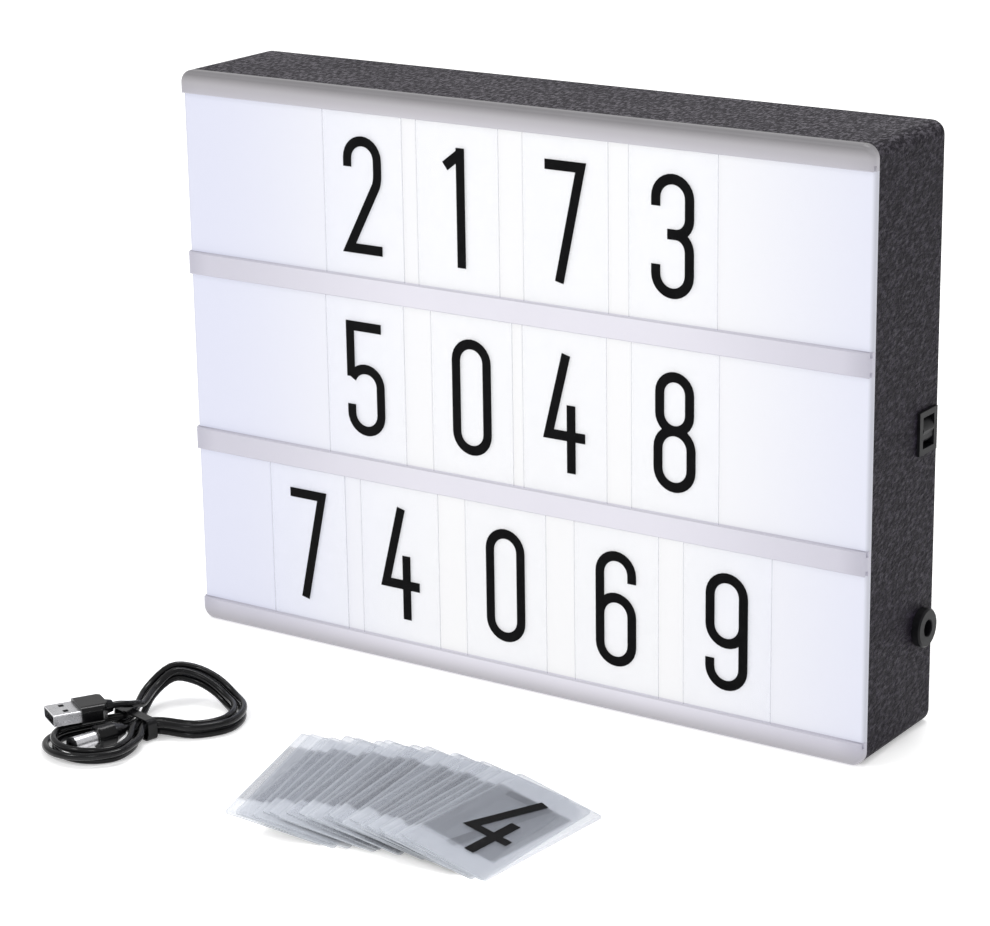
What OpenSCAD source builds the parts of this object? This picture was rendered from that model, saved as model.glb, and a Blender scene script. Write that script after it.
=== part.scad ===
// Cinema light box: a back-lit message box whose printed cards slide along rails.
// The base stands on Z = 0, +X runs to the right, +Y to the back, and the
// origin is the middle of the base.

/* [Box] */
// Width of the box, side to side
box_w = 300; // [270:1:340]
// Height of the box
box_h = 224; // [212:1:250]
// Depth from the faces of the rails to the back
box_d = 55; // [50:1:64]
// Radius of the four corners, seen from the front
corner_r = 5; // [4.5:0.5:10]
// Rounding round the back edge of the case
case_edge_r = 3; // [1:0.5:4]
// Wall of the case, sides and back
case_wall = 2.5; // [2:0.1:3]

/* [Lid and rails] */
// Thickness of the white panel that the light shines through
panel_t = 2; // [1.6:0.1:2.6]
// Rounding at the front edge of the panel
panel_edge_r = 1.5; // [0.6:0.1:1.9]
// How far the rails stand in front of the panel
rail_proud = 2; // [1.8:0.1:3]
// Height of a rail
rail_h = 9; // [8:0.5:12]
// Rounding at the ends of the rails
rail_edge_r = 2; // [1:0.1:2.5]
// Thickness of the lip that holds the cards
rail_lip_t = 0.8; // [0.6:0.1:1]
// Depth of the slot above and below each row
card_tuck = 2; // [1.5:0.1:2.6]
// Depth of the lip that centres the lid in the case
lid_lip_d = 5; // [3:0.5:8]
// Thickness of that lip
lid_lip_t = 1.5; // [1:0.1:2]

/* [Cards] */
// Width of a letter card
card_w = 36.5; // [30:0.5:38]
// Thickness of a letter card
card_t = 0.5; // [0.3:0.05:0.7]
// Number of spare cards in the fan beside the box
spare_cards = 24; // [12:1:30]
// Length of the fan, first card to last
fan_l = 74; // [70:1:110]
// Air between two cards of the fan
fan_gap = 0.15; // [0.1:0.05:0.3]
// How unevenly the cards of the fan are turned, in degrees
fan_unrest = 1.6; // [0:0.1:2.5]
// How far they slip along their length
fan_slip = 1.5; // [0:0.1:2.5]

/* [Battery bay] */
// Diameter of a cell
cell_d = 14.5; // [14:0.1:16]
// Length that one cell and its spring take
cell_run = 57.6; // [55:0.1:62]
// Height of the middle of the bay
bay_z = 76; // [72:1:80]
// Depth from the door to the bay's floor
bay_depth = 16.5; // [16:0.1:19]
// Wall of the bay
bay_wall = 1.8; // [1.4:0.1:2.4]
// Width of the flange that bonds the bay to the case
flange_w = 3.8; // [2.5:0.1:5]
// Thickness of the battery door
door_t = 2.2; // [1.6:0.1:2.4]
// Diameter of a battery spring's wire
spring_wire = 0.8; // [0.6:0.05:0.9]
// Free length of a battery spring
spring_l = 8; // [7:0.5:9]

/* [Switch and socket] */
// Height of the rocker switch
switch_z = 114; // [100:1:120]
// Distance of the switch and the socket from the back
side_fitting_y = 11; // [10.5:0.5:14]
// Height of the switch's frame
switch_h = 16; // [15:0.5:20]
// Width of the switch's frame
switch_w = 13.5; // [13:0.5:15]
// Tilt of the rocker either way
rocker_tilt = 10; // [6:1:12]
// Height of the power socket
jack_z = 40; // [32:0.5:44]
// Diameter of the socket's round flange
jack_flange_d = 14.5; // [13:0.5:14.5]
// Diameter of the hole that takes the plug
jack_bore_d = 6.2; // [5.8:0.1:6.8]

/* [Lights] */
// Length of a light board
board_l = 236; // [200:2:240]
// Height of a light board
board_h = 10; // [8:0.5:12]
// Lights on each board
lights_per_board = 8; // [6:1:12]

/* [Back of the case] */
// Distance between the two keyholes
keyhole_span = 180; // [170:2:200]
// Height of the keyholes' wide ends
keyhole_z = 196; // [194:1:198]
// Diameter of the wide end
keyhole_d = 9; // [8:0.5:10]
// Width of the narrow slot
keyhole_slot_w = 4.6; // [4:0.1:5]
// Distance of the corner screws from the sides
screw_inset = 14; // [13:0.5:16]
// Diameter of the screws' shanks
screw_d = 2.9; // [2.5:0.1:3.2]

/* [Cable] */
// Diameter of the cable
cord_d = 2.6; // [2.4:0.1:2.8]
// Loops of cable in each of the two layers of the hank
hank_loops = 2; // [1:1:2]

/* [Hidden] */
$fn = 48;

// Clearances
seat = 0.3;
thread_gap = 0.05;
over = 1;

// Depths, from the front to the back
front_y = -box_d / 2;
back_y = box_d / 2;
panel_y = front_y + rail_proud;
rim_y = panel_y + panel_t;
wall_y = back_y - case_wall;
side_x = box_w / 2;
wall_x = side_x - case_wall;

// Rows
rows = 3;
row_h = (box_h - (rows + 1) * rail_h) / rows;
row_pitch = row_h + rail_h;
card_h = row_h + 2 * card_tuck - 2 * seat;
card_gap = (rail_proud - rail_lip_t - card_t) / 2;
card_y = front_y + rail_lip_t + card_gap;
// Middle of each card of the message, row by row from the top
card_x = [[-64, -21, 26, 71], [-65, -16, 25, 72], [-95, -51, -2, 47, 94]];
rail_bevel = 0.4;

// Lid screws: wells in the case meet posts on the lid
well_d = 7;
well_wall = 1;
well_front_y = front_y + 19.5;
well_seat_t = 3;
post_d = 7;
pilot_depth = 9;
head_d = 5.8;
head_t = 2;
screw_l = well_seat_t + 7;
screw_places = [for (x = [-side_x + screw_inset, 0, side_x - screw_inset],
    z = [screw_inset, box_h - screw_inset]) [x, z]];

// Keyholes and the pockets behind them
keyhole_rise = 8;
pocket_depth = 8;
pocket_wall = 1.5;
pocket_w = keyhole_d + 2;
pocket_h = keyhole_d + keyhole_rise + 2;
pocket_z = keyhole_z + (keyhole_rise - keyhole_d) / 2 + keyhole_slot_w / 2;

// Battery bay: two columns of three cells lying along X
cell_rows = 3;
cell_pitch = cell_d + 1.1;
divider_t = 1.6;
bay_w = 2 * cell_run + divider_t;
bay_h = cell_rows * cell_pitch;
bay_floor_y = wall_y + seat - bay_depth;
cell_y = bay_floor_y + cell_d / 2 + 0.3;
ledge = 1;
opening_w = bay_w + 2 * ledge;
opening_h = bay_h + 2 * ledge;
opening_z0 = bay_z - opening_h / 2;
opening_r = 2;
door_y = back_y - door_t;
tab_places = [-35, 35];
tab_w = 10;
tab_t = 1.5;
tab_drop = 2;
latch_w = 15;
latch_h = 9;
latch_slot = 0.9;
plate_t = 0.4;
plate_h = 11;
nub_d = 5;
nub_h = 1;
lead_hole_d = 1.9;

// Battery springs
spring_curls = 5;
spring_base_r = 4.2;
spring_tip_r = 2.6;
curl_rings = 8;
tube_sides = 6;

// Light boards on the reflector
reflector_t = 0.5;
reflector_y = wall_y - reflector_t;
board_t = 1.2;
board_y = reflector_y - board_t;
light_w = 5;
light_t = 1.6;
lens_d = 4;
board_z = [38, 113, 181];

// Rocker switch and power socket in the right-hand wall
side_y = back_y - side_fitting_y;
frame_t = 1.2;
switch_depth = 12;
switch_body_w = switch_w - 2.2;
switch_body_h = switch_h - 2.2;
rocker_w = switch_w - 5.4;
rocker_r = (switch_h - 5) / 2;
pivot_x = side_x + frame_t - 5.3;
pivot_d = 2.2;
pivot_pin_l = 1;
terminal_w = 4.8;
terminal_t = 0.8;
terminal_l = 8;
terminal_z = 5;
jack_thread_d = 11.6;
jack_flange_t = 3.2;
jack_pin_sunk = 1.5;
jack_depth = 12;
jack_bore_depth = 11;
jack_pin_d = 2;
nut_af = 14;
nut_t = 2.5;
lug_l = 6;
lug_t = 0.6;
lug_w = 2.4;
wire_d = 1.3;
wire_bend = 2;

// Fan of spare cards: every card is tilted alike and lies on the one before
fan_from = [3, -156];
fan_rise = 8;
fan_bulge = 8;
fan_turn_from = 14;
fan_turn_to = -2;
fan_pitch = fan_l / (spare_cards - 1);
fan_tilt = asin((card_t + fan_gap) / fan_pitch);
fan_turn_most = fan_turn_from + fan_unrest;
fan_z = (card_w / 2 * cos(fan_turn_most) + (card_h / 2 + fan_slip) * sin(fan_turn_most))
    * sin(fan_tilt) + card_t / 2 * cos(fan_tilt);

// Hank of cable: u runs along it, v across it
hank_at = [-92, -138];
hank_turn = 68;
hank_bend = 15;
bend_half = 12;
lobe_lift = 9;
cord_step = cord_d + 1;
layer_h = cord_d + 0.8;
waist_in = 1;
far_run = 23;
far_end = 14;
far_r = 16;
near_run = 21;
near_end = 9;
near_r = 11;
tie_w = 4;
tie_t = 0.6;
tie_lift = tie_t + seat;
loop_rings = 24;

// ---------------------------------------------------------------- outlines

// Rounded rectangle about the origin
module rounded_rect(w, h, r) {
    square([w - 2 * r, h], center = true);
    square([w, h - 2 * r], center = true);
    for (x = [-1, 1], y = [-1, 1])
        translate([x * (w / 2 - r), y * (h / 2 - r)]) circle(r);
}

// Section through the edge of a slab: a rectangle with both lower corners rounded
module slab_section(w, t, e) {
    translate([-w / 2 + e, 0]) square([w - 2 * e, t]);
    translate([-w / 2, e]) square([w, t - e]);
    intersection() {
        for (x = [-1, 1]) translate([x * (w / 2 - e), e]) circle(e);
        translate([-w / 2, 0]) square([w, t]);
    }
}

// Slab with corners of radius r whose lower edge is rounded by e all round
module slab(w, h, r, t, e) {
    translate([0, (h - 2 * r) / 2, 0]) rotate([90, 0, 0])
        linear_extrude(h - 2 * r) slab_section(w, t, e);
    translate([-(w - 2 * r) / 2, 0, 0]) rotate([90, 0, 90])
        linear_extrude(w - 2 * r) slab_section(h, t, e);
    for (x = [-1, 1], y = [-1, 1])
        translate([x * (w / 2 - r), y * (h / 2 - r), 0])
            rotate_extrude() intersection() {
                slab_section(2 * r, t, e);
                square([r, t]);
            }
}

// Stands a shape drawn in XY upright, its thickness running back from y
module upright(y) {
    translate([0, y, box_h / 2]) rotate([-90, 0, 0]) children();
}

// Stands a shape drawn in XY upright, its thickness running forward from y
module upright_back(y) {
    translate([0, y, box_h / 2]) rotate([90, 0, 0]) children();
}

// Cylinder along +Y from y0 to y1
module rod_y(x, z, d, y0, y1) {
    translate([x, y0, z]) rotate([-90, 0, 0]) cylinder(d = d, h = y1 - y0);
}

// Cylinder along +X from x0 to x1
module rod_x(y, z, d, x0, x1) {
    translate([x0, y, z]) rotate([0, 90, 0]) cylinder(d = d, h = x1 - x0);
}

// Block between two corners
module block(a, b) {
    translate(a) cube(b - a);
}

// -------------------------------------------------------------------- case

module keyhole() {
    rod_y(0, 0, keyhole_d, wall_y - over, back_y + over);
    block([-keyhole_slot_w / 2, wall_y - over, 0],
        [keyhole_slot_w / 2, back_y + over, keyhole_rise]);
    rod_y(0, keyhole_rise, keyhole_slot_w, wall_y - over, back_y + over);
}

module keyhole_pocket() {
    difference() {
        block([-pocket_w / 2 - pocket_wall, wall_y - pocket_depth - pocket_wall,
                -pocket_h / 2 - pocket_wall],
            [pocket_w / 2 + pocket_wall, wall_y, pocket_h / 2 + pocket_wall]);
        block([-pocket_w / 2, wall_y - pocket_depth, -pocket_h / 2],
            [pocket_w / 2, wall_y + over, pocket_h / 2]);
    }
}

module case() {
    color([0.24, 0.24, 0.25]) {
        difference() {
            union() {
                difference() {
                    upright_back(back_y)
                        slab(box_w, box_h, corner_r, back_y - rim_y, case_edge_r);
                    upright(rim_y - over)
                        linear_extrude(wall_y - rim_y + over)
                            rounded_rect(box_w - 2 * case_wall, box_h - 2 * case_wall,
                                corner_r - case_wall);
                }
                for (p = screw_places)
                    rod_y(p[0], p[1], well_d + 2 * well_wall, well_front_y, wall_y);
                for (x = [-1, 1])
                    translate([x * keyhole_span / 2, 0, pocket_z]) keyhole_pocket();
            }
            for (p = screw_places) {
                rod_y(p[0], p[1], well_d, well_front_y + well_seat_t, back_y + over);
                rod_y(p[0], p[1], screw_d + 0.5, well_front_y - over, back_y);
            }
            for (x = [-1, 1])
                translate([x * keyhole_span / 2, 0, keyhole_z]) keyhole();
            // opening for the battery door, with a scoop for the fingertip
            translate([0, wall_y - over, bay_z]) rotate([-90, 0, 0])
                linear_extrude(case_wall + 2 * over)
                    rounded_rect(opening_w, opening_h, opening_r);
            rod_y(0, bay_z + opening_h / 2, latch_w + 2, back_y - 1.2, back_y + over);
            // holes for the switch and the socket
            block([wall_x - over, side_y - switch_body_w / 2 - 0.1,
                    switch_z - switch_body_h / 2 - 0.1],
                [side_x + over, side_y + switch_body_w / 2 + 0.1,
                    switch_z + switch_body_h / 2 + 0.1]);
            rod_x(side_y, jack_z, jack_thread_d + 0.4, wall_x - over, side_x + over);
        }
    }
}

// ----------------------------------------------------------- lid and rails

rail_z = [for (i = [0 : rows]) i * row_pitch];

module lid() {
    color([0.97, 0.97, 0.98]) difference() {
        union() {
            upright(panel_y)
                slab(box_w, box_h, corner_r, panel_t, min(panel_edge_r, panel_t - 0.1));
            // the ground under each rail runs out to the rail's own rounded end
            intersection() {
                upright(front_y)
                    slab(box_w, box_h, corner_r, rail_proud + panel_t, rail_edge_r);
                for (z = rail_z)
                    block([-box_w, panel_y, z], [box_w, rim_y, z + rail_h]);
            }
            // lip that centres the lid in the case
            upright(rim_y) linear_extrude(lid_lip_d) difference() {
                rounded_rect(box_w - 2 * (case_wall + seat), box_h - 2 * (case_wall + seat),
                    corner_r - case_wall - seat);
                rounded_rect(box_w - 2 * (case_wall + seat + lid_lip_t),
                    box_h - 2 * (case_wall + seat + lid_lip_t),
                    max(0.3, corner_r - case_wall - seat - lid_lip_t));
            }
            for (p = screw_places)
                rod_y(p[0], p[1], post_d, rim_y, well_front_y - seat);
        }
        for (p = screw_places)
            rod_y(p[0], p[1], screw_d + 2 * thread_gap,
                well_front_y - seat - pilot_depth, well_front_y);
    }
}

// Section of a rail: the lip in front, the foot behind it; up and down say on
// which sides the lip hangs over a row
module rail_section(down, up) {
    foot_0 = down ? card_tuck : 0;
    foot_1 = rail_h - (up ? card_tuck : 0);
    polygon([[rail_bevel * down, 0], [rail_h - rail_bevel * up, 0], [rail_h, rail_bevel * up],
        [rail_h, rail_lip_t], [foot_1, rail_lip_t], [foot_1, rail_proud],
        [foot_0, rail_proud], [foot_0, rail_lip_t], [0, rail_lip_t], [0, rail_bevel * down]]);
}

module rail(i) {
    color([0.83, 0.83, 0.87]) intersection() {
        upright(front_y) slab(box_w, box_h, corner_r, rail_proud + panel_t, rail_edge_r);
        translate([-side_x - over, front_y, rail_z[i]])
            rotate([90, 0, 90]) linear_extrude(box_w + 2 * over)
                mirror([1, -1, 0]) rail_section(i > 0 ? 1 : 0, i < rows ? 1 : 0);
    }
}

// ------------------------------------------------------------------- cards

module card_blank() {
    block([-card_w / 2, 0, -card_h / 2], [card_w / 2, card_t, card_h / 2]);
}

module card(row, place) {
    color([0.92, 0.93, 0.96, 0.8])
        translate([card_x[row][place], card_y, rail_z[rows - 1 - row] + rail_h + row_h / 2])
            card_blank();
}

module spare_card_fan() {
    color([0.85, 0.87, 0.9, 0.6])
        for (i = [0 : spare_cards - 1])
            let (f = i / (spare_cards - 1),
                x = fan_from[0] + f * fan_l,
                y = fan_from[1] + f * fan_rise + fan_bulge * sin(180 * f),
                turn = fan_turn_from + f * (fan_turn_to - fan_turn_from)
                    + fan_unrest * sin(137 * i))
            translate([x, y, fan_z]) rotate([0, fan_tilt, 0]) rotate(turn)
                translate([0, fan_slip * sin(97 * i + 40), 0])
                    cube([card_w, card_h, card_t], center = true);
}

// ------------------------------------------------------------------ lights

module reflector() {
    gap = 0.6;
    color("white") difference() {
        upright(reflector_y) linear_extrude(reflector_t)
            rounded_rect(box_w - 2 * case_wall - 4, box_h - 2 * case_wall - 4, 4);
        block([-bay_w / 2 - bay_wall - flange_w - gap, reflector_y - over,
                bay_z - bay_h / 2 - bay_wall - flange_w - gap],
            [bay_w / 2 + bay_wall + flange_w + gap, wall_y + over,
                bay_z + bay_h / 2 + bay_wall + flange_w + gap]);
        for (x = [-1, 1])
            translate([x * keyhole_span / 2, 0, pocket_z])
                block([-pocket_w / 2 - pocket_wall - gap, reflector_y - over,
                        -pocket_h / 2 - pocket_wall - gap],
                    [pocket_w / 2 + pocket_wall + gap, wall_y + over,
                        pocket_h / 2 + pocket_wall + gap]);
        for (p = screw_places)
            rod_y(p[0], p[1], well_d + 2 * well_wall + 2 * gap, reflector_y - over,
                wall_y + over);
    }
}

module light_boards() {
    color([0.9, 0.92, 0.9])
        for (z = board_z)
            block([-board_l / 2, board_y, z - board_h / 2],
                [board_l / 2, reflector_y, z + board_h / 2]);
}

module lights() {
    pitch = board_l / lights_per_board;
    color([1, 0.97, 0.8])
        for (z = board_z, i = [0 : lights_per_board - 1])
            let (x = (i - (lights_per_board - 1) / 2) * pitch) difference() {
                block([x - light_w / 2, board_y - light_t, z - light_w / 2],
                    [x + light_w / 2, board_y, z + light_w / 2]);
                rod_y(x, z, lens_d, board_y - light_t - over, board_y - light_t + 0.3);
            }
}

// ------------------------------------------------------------- battery bay

module battery_bay() {
    color([0.2, 0.2, 0.21]) difference() {
        union() {
            block([-bay_w / 2 - bay_wall, bay_floor_y - bay_wall,
                    bay_z - bay_h / 2 - bay_wall],
                [bay_w / 2 + bay_wall, wall_y, bay_z + bay_h / 2 + bay_wall]);
            block([-bay_w / 2 - bay_wall - flange_w, wall_y - 2,
                    bay_z - bay_h / 2 - bay_wall - flange_w],
                [bay_w / 2 + bay_wall + flange_w, wall_y,
                    bay_z + bay_h / 2 + bay_wall + flange_w]);
        }
        // two troughs of cells, left and right of the divider
        for (x = [-1, 1])
            translate([x * (divider_t + cell_run) / 2, 0, bay_z])
                block([-cell_run / 2, cell_y, -bay_h / 2],
                    [cell_run / 2, wall_y + over, bay_h / 2]);
        for (x = [-1, 1], i = [-1 : cell_rows - 2])
            rod_x(cell_y, bay_z + i * cell_pitch, cell_pitch - 0.6,
                x > 0 ? divider_t / 2 : -divider_t / 2 - cell_run,
                x > 0 ? divider_t / 2 + cell_run : -divider_t / 2);
        // room for the contact plates, down to the floor
        for (x = [-1, 1], e = [0, 1])
            let (x0 = x * (divider_t / 2 + e * (cell_run - 2)))
            block([min(x0, x0 + x * 2), bay_floor_y, bay_z - bay_h / 2],
                [max(x0, x0 + x * 2), wall_y + over, bay_z + bay_h / 2]);
        // notches for the door's tabs
        for (x = tab_places)
            block([x - tab_w / 2 - 0.6, back_y - case_wall - 3.2, opening_z0 - 3.2],
                [x + tab_w / 2 + 0.6, wall_y + over, opening_z0 + 6]);
        // holes for the two leads
        for (x = [-1, 1])
            rod_x(cell_y, bay_z - cell_pitch, lead_hole_d,
                x > 0 ? bay_w / 2 - over : -bay_w / 2 - bay_wall - over,
                x > 0 ? bay_w / 2 + bay_wall + over : -bay_w / 2 + over);
    }
}

// Contact plate against the wall at x, facing dir, spanning rows i0 to i1
module contact_plate(x, dir, i0, i1) {
    block([min(x, x + dir * plate_t), cell_y - plate_h / 2,
            bay_z + i0 * cell_pitch - plate_h / 2],
        [max(x, x + dir * plate_t), cell_y + plate_h / 2,
            bay_z + i1 * cell_pitch + plate_h / 2]);
}

// Raised button that the cell's positive end meets
module contact_nub(x, dir, i) {
    x0 = x + dir * plate_t;
    rod_x(cell_y, bay_z + i * cell_pitch, nub_d, min(x0, x0 + dir * nub_h),
        max(x0, x0 + dir * nub_h));
}

module battery_contacts() {
    mid = divider_t / 2;
    color([0.82, 0.82, 0.8]) for (s = [-1, 1]) {
        contact_plate(s * bay_w / 2, -s, -1, -1);
        contact_plate(s * bay_w / 2, -s, 0, 1);
        contact_plate(s * mid, s, -1, 0);
        contact_plate(s * mid, s, 1, 1);
        // positive ends: left column at the wall in rows -1 and 1, at the divider in row 0
        if (s < 0) {
            contact_nub(s * bay_w / 2, -s, -1);
            contact_nub(s * bay_w / 2, -s, 1);
            contact_nub(s * mid, s, 0);
        } else {
            contact_nub(s * mid, s, -1);
            contact_nub(s * mid, s, 1);
            contact_nub(s * bay_w / 2, -s, 0);
        }
    }
}

// Spring seats: [x, direction, row]
spring_seats = [
    [-divider_t / 2 - plate_t, -1, -1],
    [-bay_w / 2 + plate_t, 1, 0],
    [-divider_t / 2 - plate_t, -1, 1],
    [bay_w / 2 - plate_t, -1, -1],
    [divider_t / 2 + plate_t, 1, 0],
    [bay_w / 2 - plate_t, -1, 1]];

// Centre line of a conical spring along +X from its seat at x = 0
function spring_path() = concat(
    [[0, spring_base_r, 0]],
    [for (i = [0 : spring_curls * curl_rings])
        let (f = i / (spring_curls * curl_rings), a = 360 * i / curl_rings,
            r = spring_base_r + f * (spring_tip_r - spring_base_r))
        [spring_wire + f * (spring_l - 1.5 * spring_wire), r * cos(a), r * sin(a)]],
    [[spring_l - spring_wire / 2, spring_tip_r, spring_wire]]);

module battery_springs() {
    color([0.8, 0.8, 0.78]) for (s = spring_seats)
        translate([s[0], cell_y, bay_z + s[2] * cell_pitch])
            rotate(s[1] > 0 ? 0 : 180) tube(spring_path(), spring_wire, tube_sides);
}

module door_latch_slots() {
    top = opening_h / 2;
    for (x = [-1, 1])
        block([x * latch_w / 2 - latch_slot / 2, door_y - over, top - latch_h],
            [x * latch_w / 2 + latch_slot / 2, back_y + over, top + over]);
}

module battery_door() {
    grip_ribs = 5;
    rib_l = opening_w / 2 - 12;
    color([0.22, 0.22, 0.23]) translate([0, 0, bay_z]) {
        difference() {
            translate([0, door_y, 0]) rotate([-90, 0, 0]) linear_extrude(door_t)
                rounded_rect(opening_w - 2 * seat, opening_h - 2 * seat, opening_r - seat);
            door_latch_slots();
            // grooves that the thumb grips on the latch
            for (i = [0 : grip_ribs - 1])
                block([-latch_w / 2 + 2, back_y - 0.5, opening_h / 2 - 2.2 - i * 1.5],
                    [latch_w / 2 - 2, back_y + over, opening_h / 2 - 1.5 - i * 1.5]);
        }
        // tabs that hook behind the lower edge of the opening
        for (x = tab_places) {
            block([x - tab_w / 2, wall_y - seat - tab_t, -opening_h / 2 + seat],
                [x + tab_w / 2, door_y, -opening_h / 2 + seat + tab_t]);
            block([x - tab_w / 2, wall_y - seat - tab_t, -opening_h / 2 - tab_drop],
                [x + tab_w / 2, wall_y - seat, -opening_h / 2 + seat + tab_t]);
        }
        // stiffening ribs on the inside, between the cells
        for (i = [-0.5, 0.5], x = [-1, 1])
            translate([x * (opening_w / 4 - 3), 0, i * cell_pitch])
                block([-rib_l / 2, door_y - 1.5, -0.6], [rib_l / 2, door_y, 0.6]);
    }
}

// ------------------------------------------------------------------ screws

module lid_screws() {
    cross = 0.9;
    color([0.75, 0.75, 0.76]) for (p = screw_places)
        translate([p[0], well_front_y + well_seat_t, p[1]]) rotate([-90, 0, 0])
            difference() {
                union() {
                    cylinder(d = head_d, h = head_t);
                    translate([0, 0, -screw_l]) cylinder(d = screw_d, h = screw_l + 0.1);
                }
                translate([0, 0, head_t]) {
                    cube([head_d * 0.6, cross, 2.4], center = true);
                    cube([cross, head_d * 0.6, 2.4], center = true);
                }
            }
}

// --------------------------------------------------------- switch and jack

module switch_body() {
    color([0.1, 0.1, 0.1]) difference() {
        union() {
            block([side_x, side_y - switch_w / 2, switch_z - switch_h / 2],
                [side_x + frame_t, side_y + switch_w / 2, switch_z + switch_h / 2]);
            block([side_x - switch_depth, side_y - switch_body_w / 2,
                    switch_z - switch_body_h / 2],
                [side_x + over / 2, side_y + switch_body_w / 2, switch_z + switch_body_h / 2]);
        }
        // well for the rocker, with its two pivot holes
        block([pivot_x - 5, side_y - rocker_w / 2 - 0.25, switch_z - rocker_r - seat],
            [side_x + frame_t + over, side_y + rocker_w / 2 + 0.25,
                switch_z + rocker_r + seat]);
        translate([pivot_x, side_y, switch_z]) rotate([90, 0, 0])
            cylinder(d = pivot_d + 2 * thread_gap, h = rocker_w + 2 * pivot_pin_l + 0.6,
                center = true);
    }
}

module switch_rocker() {
    crest = 5;
    fall = rocker_r * tan(rocker_tilt);
    color([0.13, 0.13, 0.13])
        translate([pivot_x, side_y, switch_z]) rotate([0, rocker_tilt, 0]) {
            rotate([90, 0, 0]) intersection() {
                cylinder(r = rocker_r, h = rocker_w, center = true);
                linear_extrude(rocker_w, center = true)
                    polygon([[crest, 0], [crest + fall, rocker_r], [0, rocker_r],
                        [-2.5, 3], [-2.5, -3], [0, -rocker_r], [crest + fall, -rocker_r]]);
            }
            rotate([90, 0, 0])
                cylinder(d = pivot_d, h = rocker_w + 2 * pivot_pin_l, center = true);
        }
}

module switch_terminals() {
    color([0.8, 0.78, 0.7]) for (z = [-1, 1])
        block([side_x - switch_depth - terminal_l, side_y - terminal_w / 2,
                switch_z + z * terminal_z - terminal_t / 2],
            [side_x - switch_depth, side_y + terminal_w / 2,
                switch_z + z * terminal_z + terminal_t / 2]);
}

module jack_socket() {
    bevel = 0.6;
    color([0.12, 0.12, 0.12]) translate([side_x, side_y, jack_z]) rotate([0, 90, 0])
        rotate_extrude() polygon([
            [jack_bore_d / 2, jack_flange_t - jack_bore_depth],
            [jack_bore_d / 2, jack_flange_t - bevel / 2],
            [jack_bore_d / 2 + bevel / 2, jack_flange_t],
            [jack_flange_d / 2 - bevel, jack_flange_t],
            [jack_flange_d / 2, jack_flange_t - bevel], [jack_flange_d / 2, 0],
            [jack_thread_d / 2, 0], [jack_thread_d / 2, -jack_depth],
            [jack_pin_d / 2, -jack_depth], [jack_pin_d / 2, jack_flange_t - jack_bore_depth]]);
}

module jack_pin() {
    color([0.85, 0.84, 0.8]) {
        rod_x(side_y, jack_z, jack_pin_d, side_x - jack_depth, side_x - jack_pin_sunk);
        translate([side_x - jack_pin_sunk, side_y, jack_z]) sphere(d = jack_pin_d);
    }
}

module jack_nut() {
    color([0.78, 0.78, 0.76]) difference() {
        translate([wall_x - nut_t, side_y, jack_z]) rotate([0, 90, 0])
            cylinder(d = nut_af / cos(30), h = nut_t, $fn = 6);
        rod_x(side_y, jack_z, jack_thread_d + 2 * thread_gap, wall_x - nut_t - over,
            wall_x + over);
    }
}

lug_places = [[0, 3.2], [-3.2, -2.4], [3.2, -2.4]];

module jack_lugs() {
    color([0.8, 0.78, 0.7]) for (p = lug_places)
        block([side_x - jack_depth - lug_l, side_y + p[0] - lug_w / 2,
                jack_z + p[1] - lug_t / 2],
            [side_x - jack_depth, side_y + p[0] + lug_w / 2, jack_z + p[1] + lug_t / 2]);
}

// ------------------------------------------------------------------- wires

// A wire through a list of points, its bends rounded
module wire(points) {
    tube(rounded_path(points, wire_bend), wire_d, tube_sides);
}

// Each bend of a path becomes three points
function rounded_path(p, r) = concat([p[0]],
    [for (i = [1 : len(p) - 2])
        let (back = p[i - 1] - p[i], on = p[i + 1] - p[i],
            a = p[i] + min(r, 0.4 * norm(back)) * unit(back),
            b = p[i] + min(r, 0.4 * norm(on)) * unit(on))
        each [a, (a + b + 2 * p[i]) / 4, b]],
    [p[len(p) - 1]]);

board_end = board_l / 2;
pad_y = board_y - wire_d / 2;
lug_x = side_x - jack_depth - lug_l;
terminal_x = side_x - switch_depth - terminal_l;
lead_z = bay_z - cell_pitch;

module wires_red() {
    color([0.75, 0.1, 0.1]) {
        // battery to the socket
        wire([[bay_w / 2, cell_y, lead_z], [bay_w / 2 + 12, cell_y, lead_z],
            [lug_x - 14, side_y, jack_z + 12], [lug_x - 8, side_y, jack_z + lug_places[0][1]],
            [lug_x, side_y, jack_z + lug_places[0][1]]]);
        // socket to the switch
        wire([[lug_x, side_y + lug_places[2][0], jack_z + lug_places[2][1]],
            [lug_x - 4, side_y + lug_places[2][0], jack_z + lug_places[2][1]],
            [lug_x - 4, side_y + 2, jack_z + 14], [terminal_x - 6, side_y, switch_z - 14],
            [terminal_x - 6, side_y, switch_z - terminal_z],
            [terminal_x, side_y, switch_z - terminal_z]]);
        // switch to the middle board, and on to the others
        wire([[terminal_x, side_y, switch_z + terminal_z],
            [terminal_x - 4, side_y, switch_z + terminal_z],
            [board_end - 4, pad_y - 3, board_z[1] + 2], [board_end - 8, pad_y, board_z[1] + 2],
            [board_end - 10, pad_y, board_z[1] + 2]]);
        for (i = [0, 1])
            wire([[-board_end + 3, pad_y, board_z[i] + board_h / 2 - 3],
                [-board_end + 3, pad_y, board_z[i + 1] - board_h / 2 + 3]]);
    }
}

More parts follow.
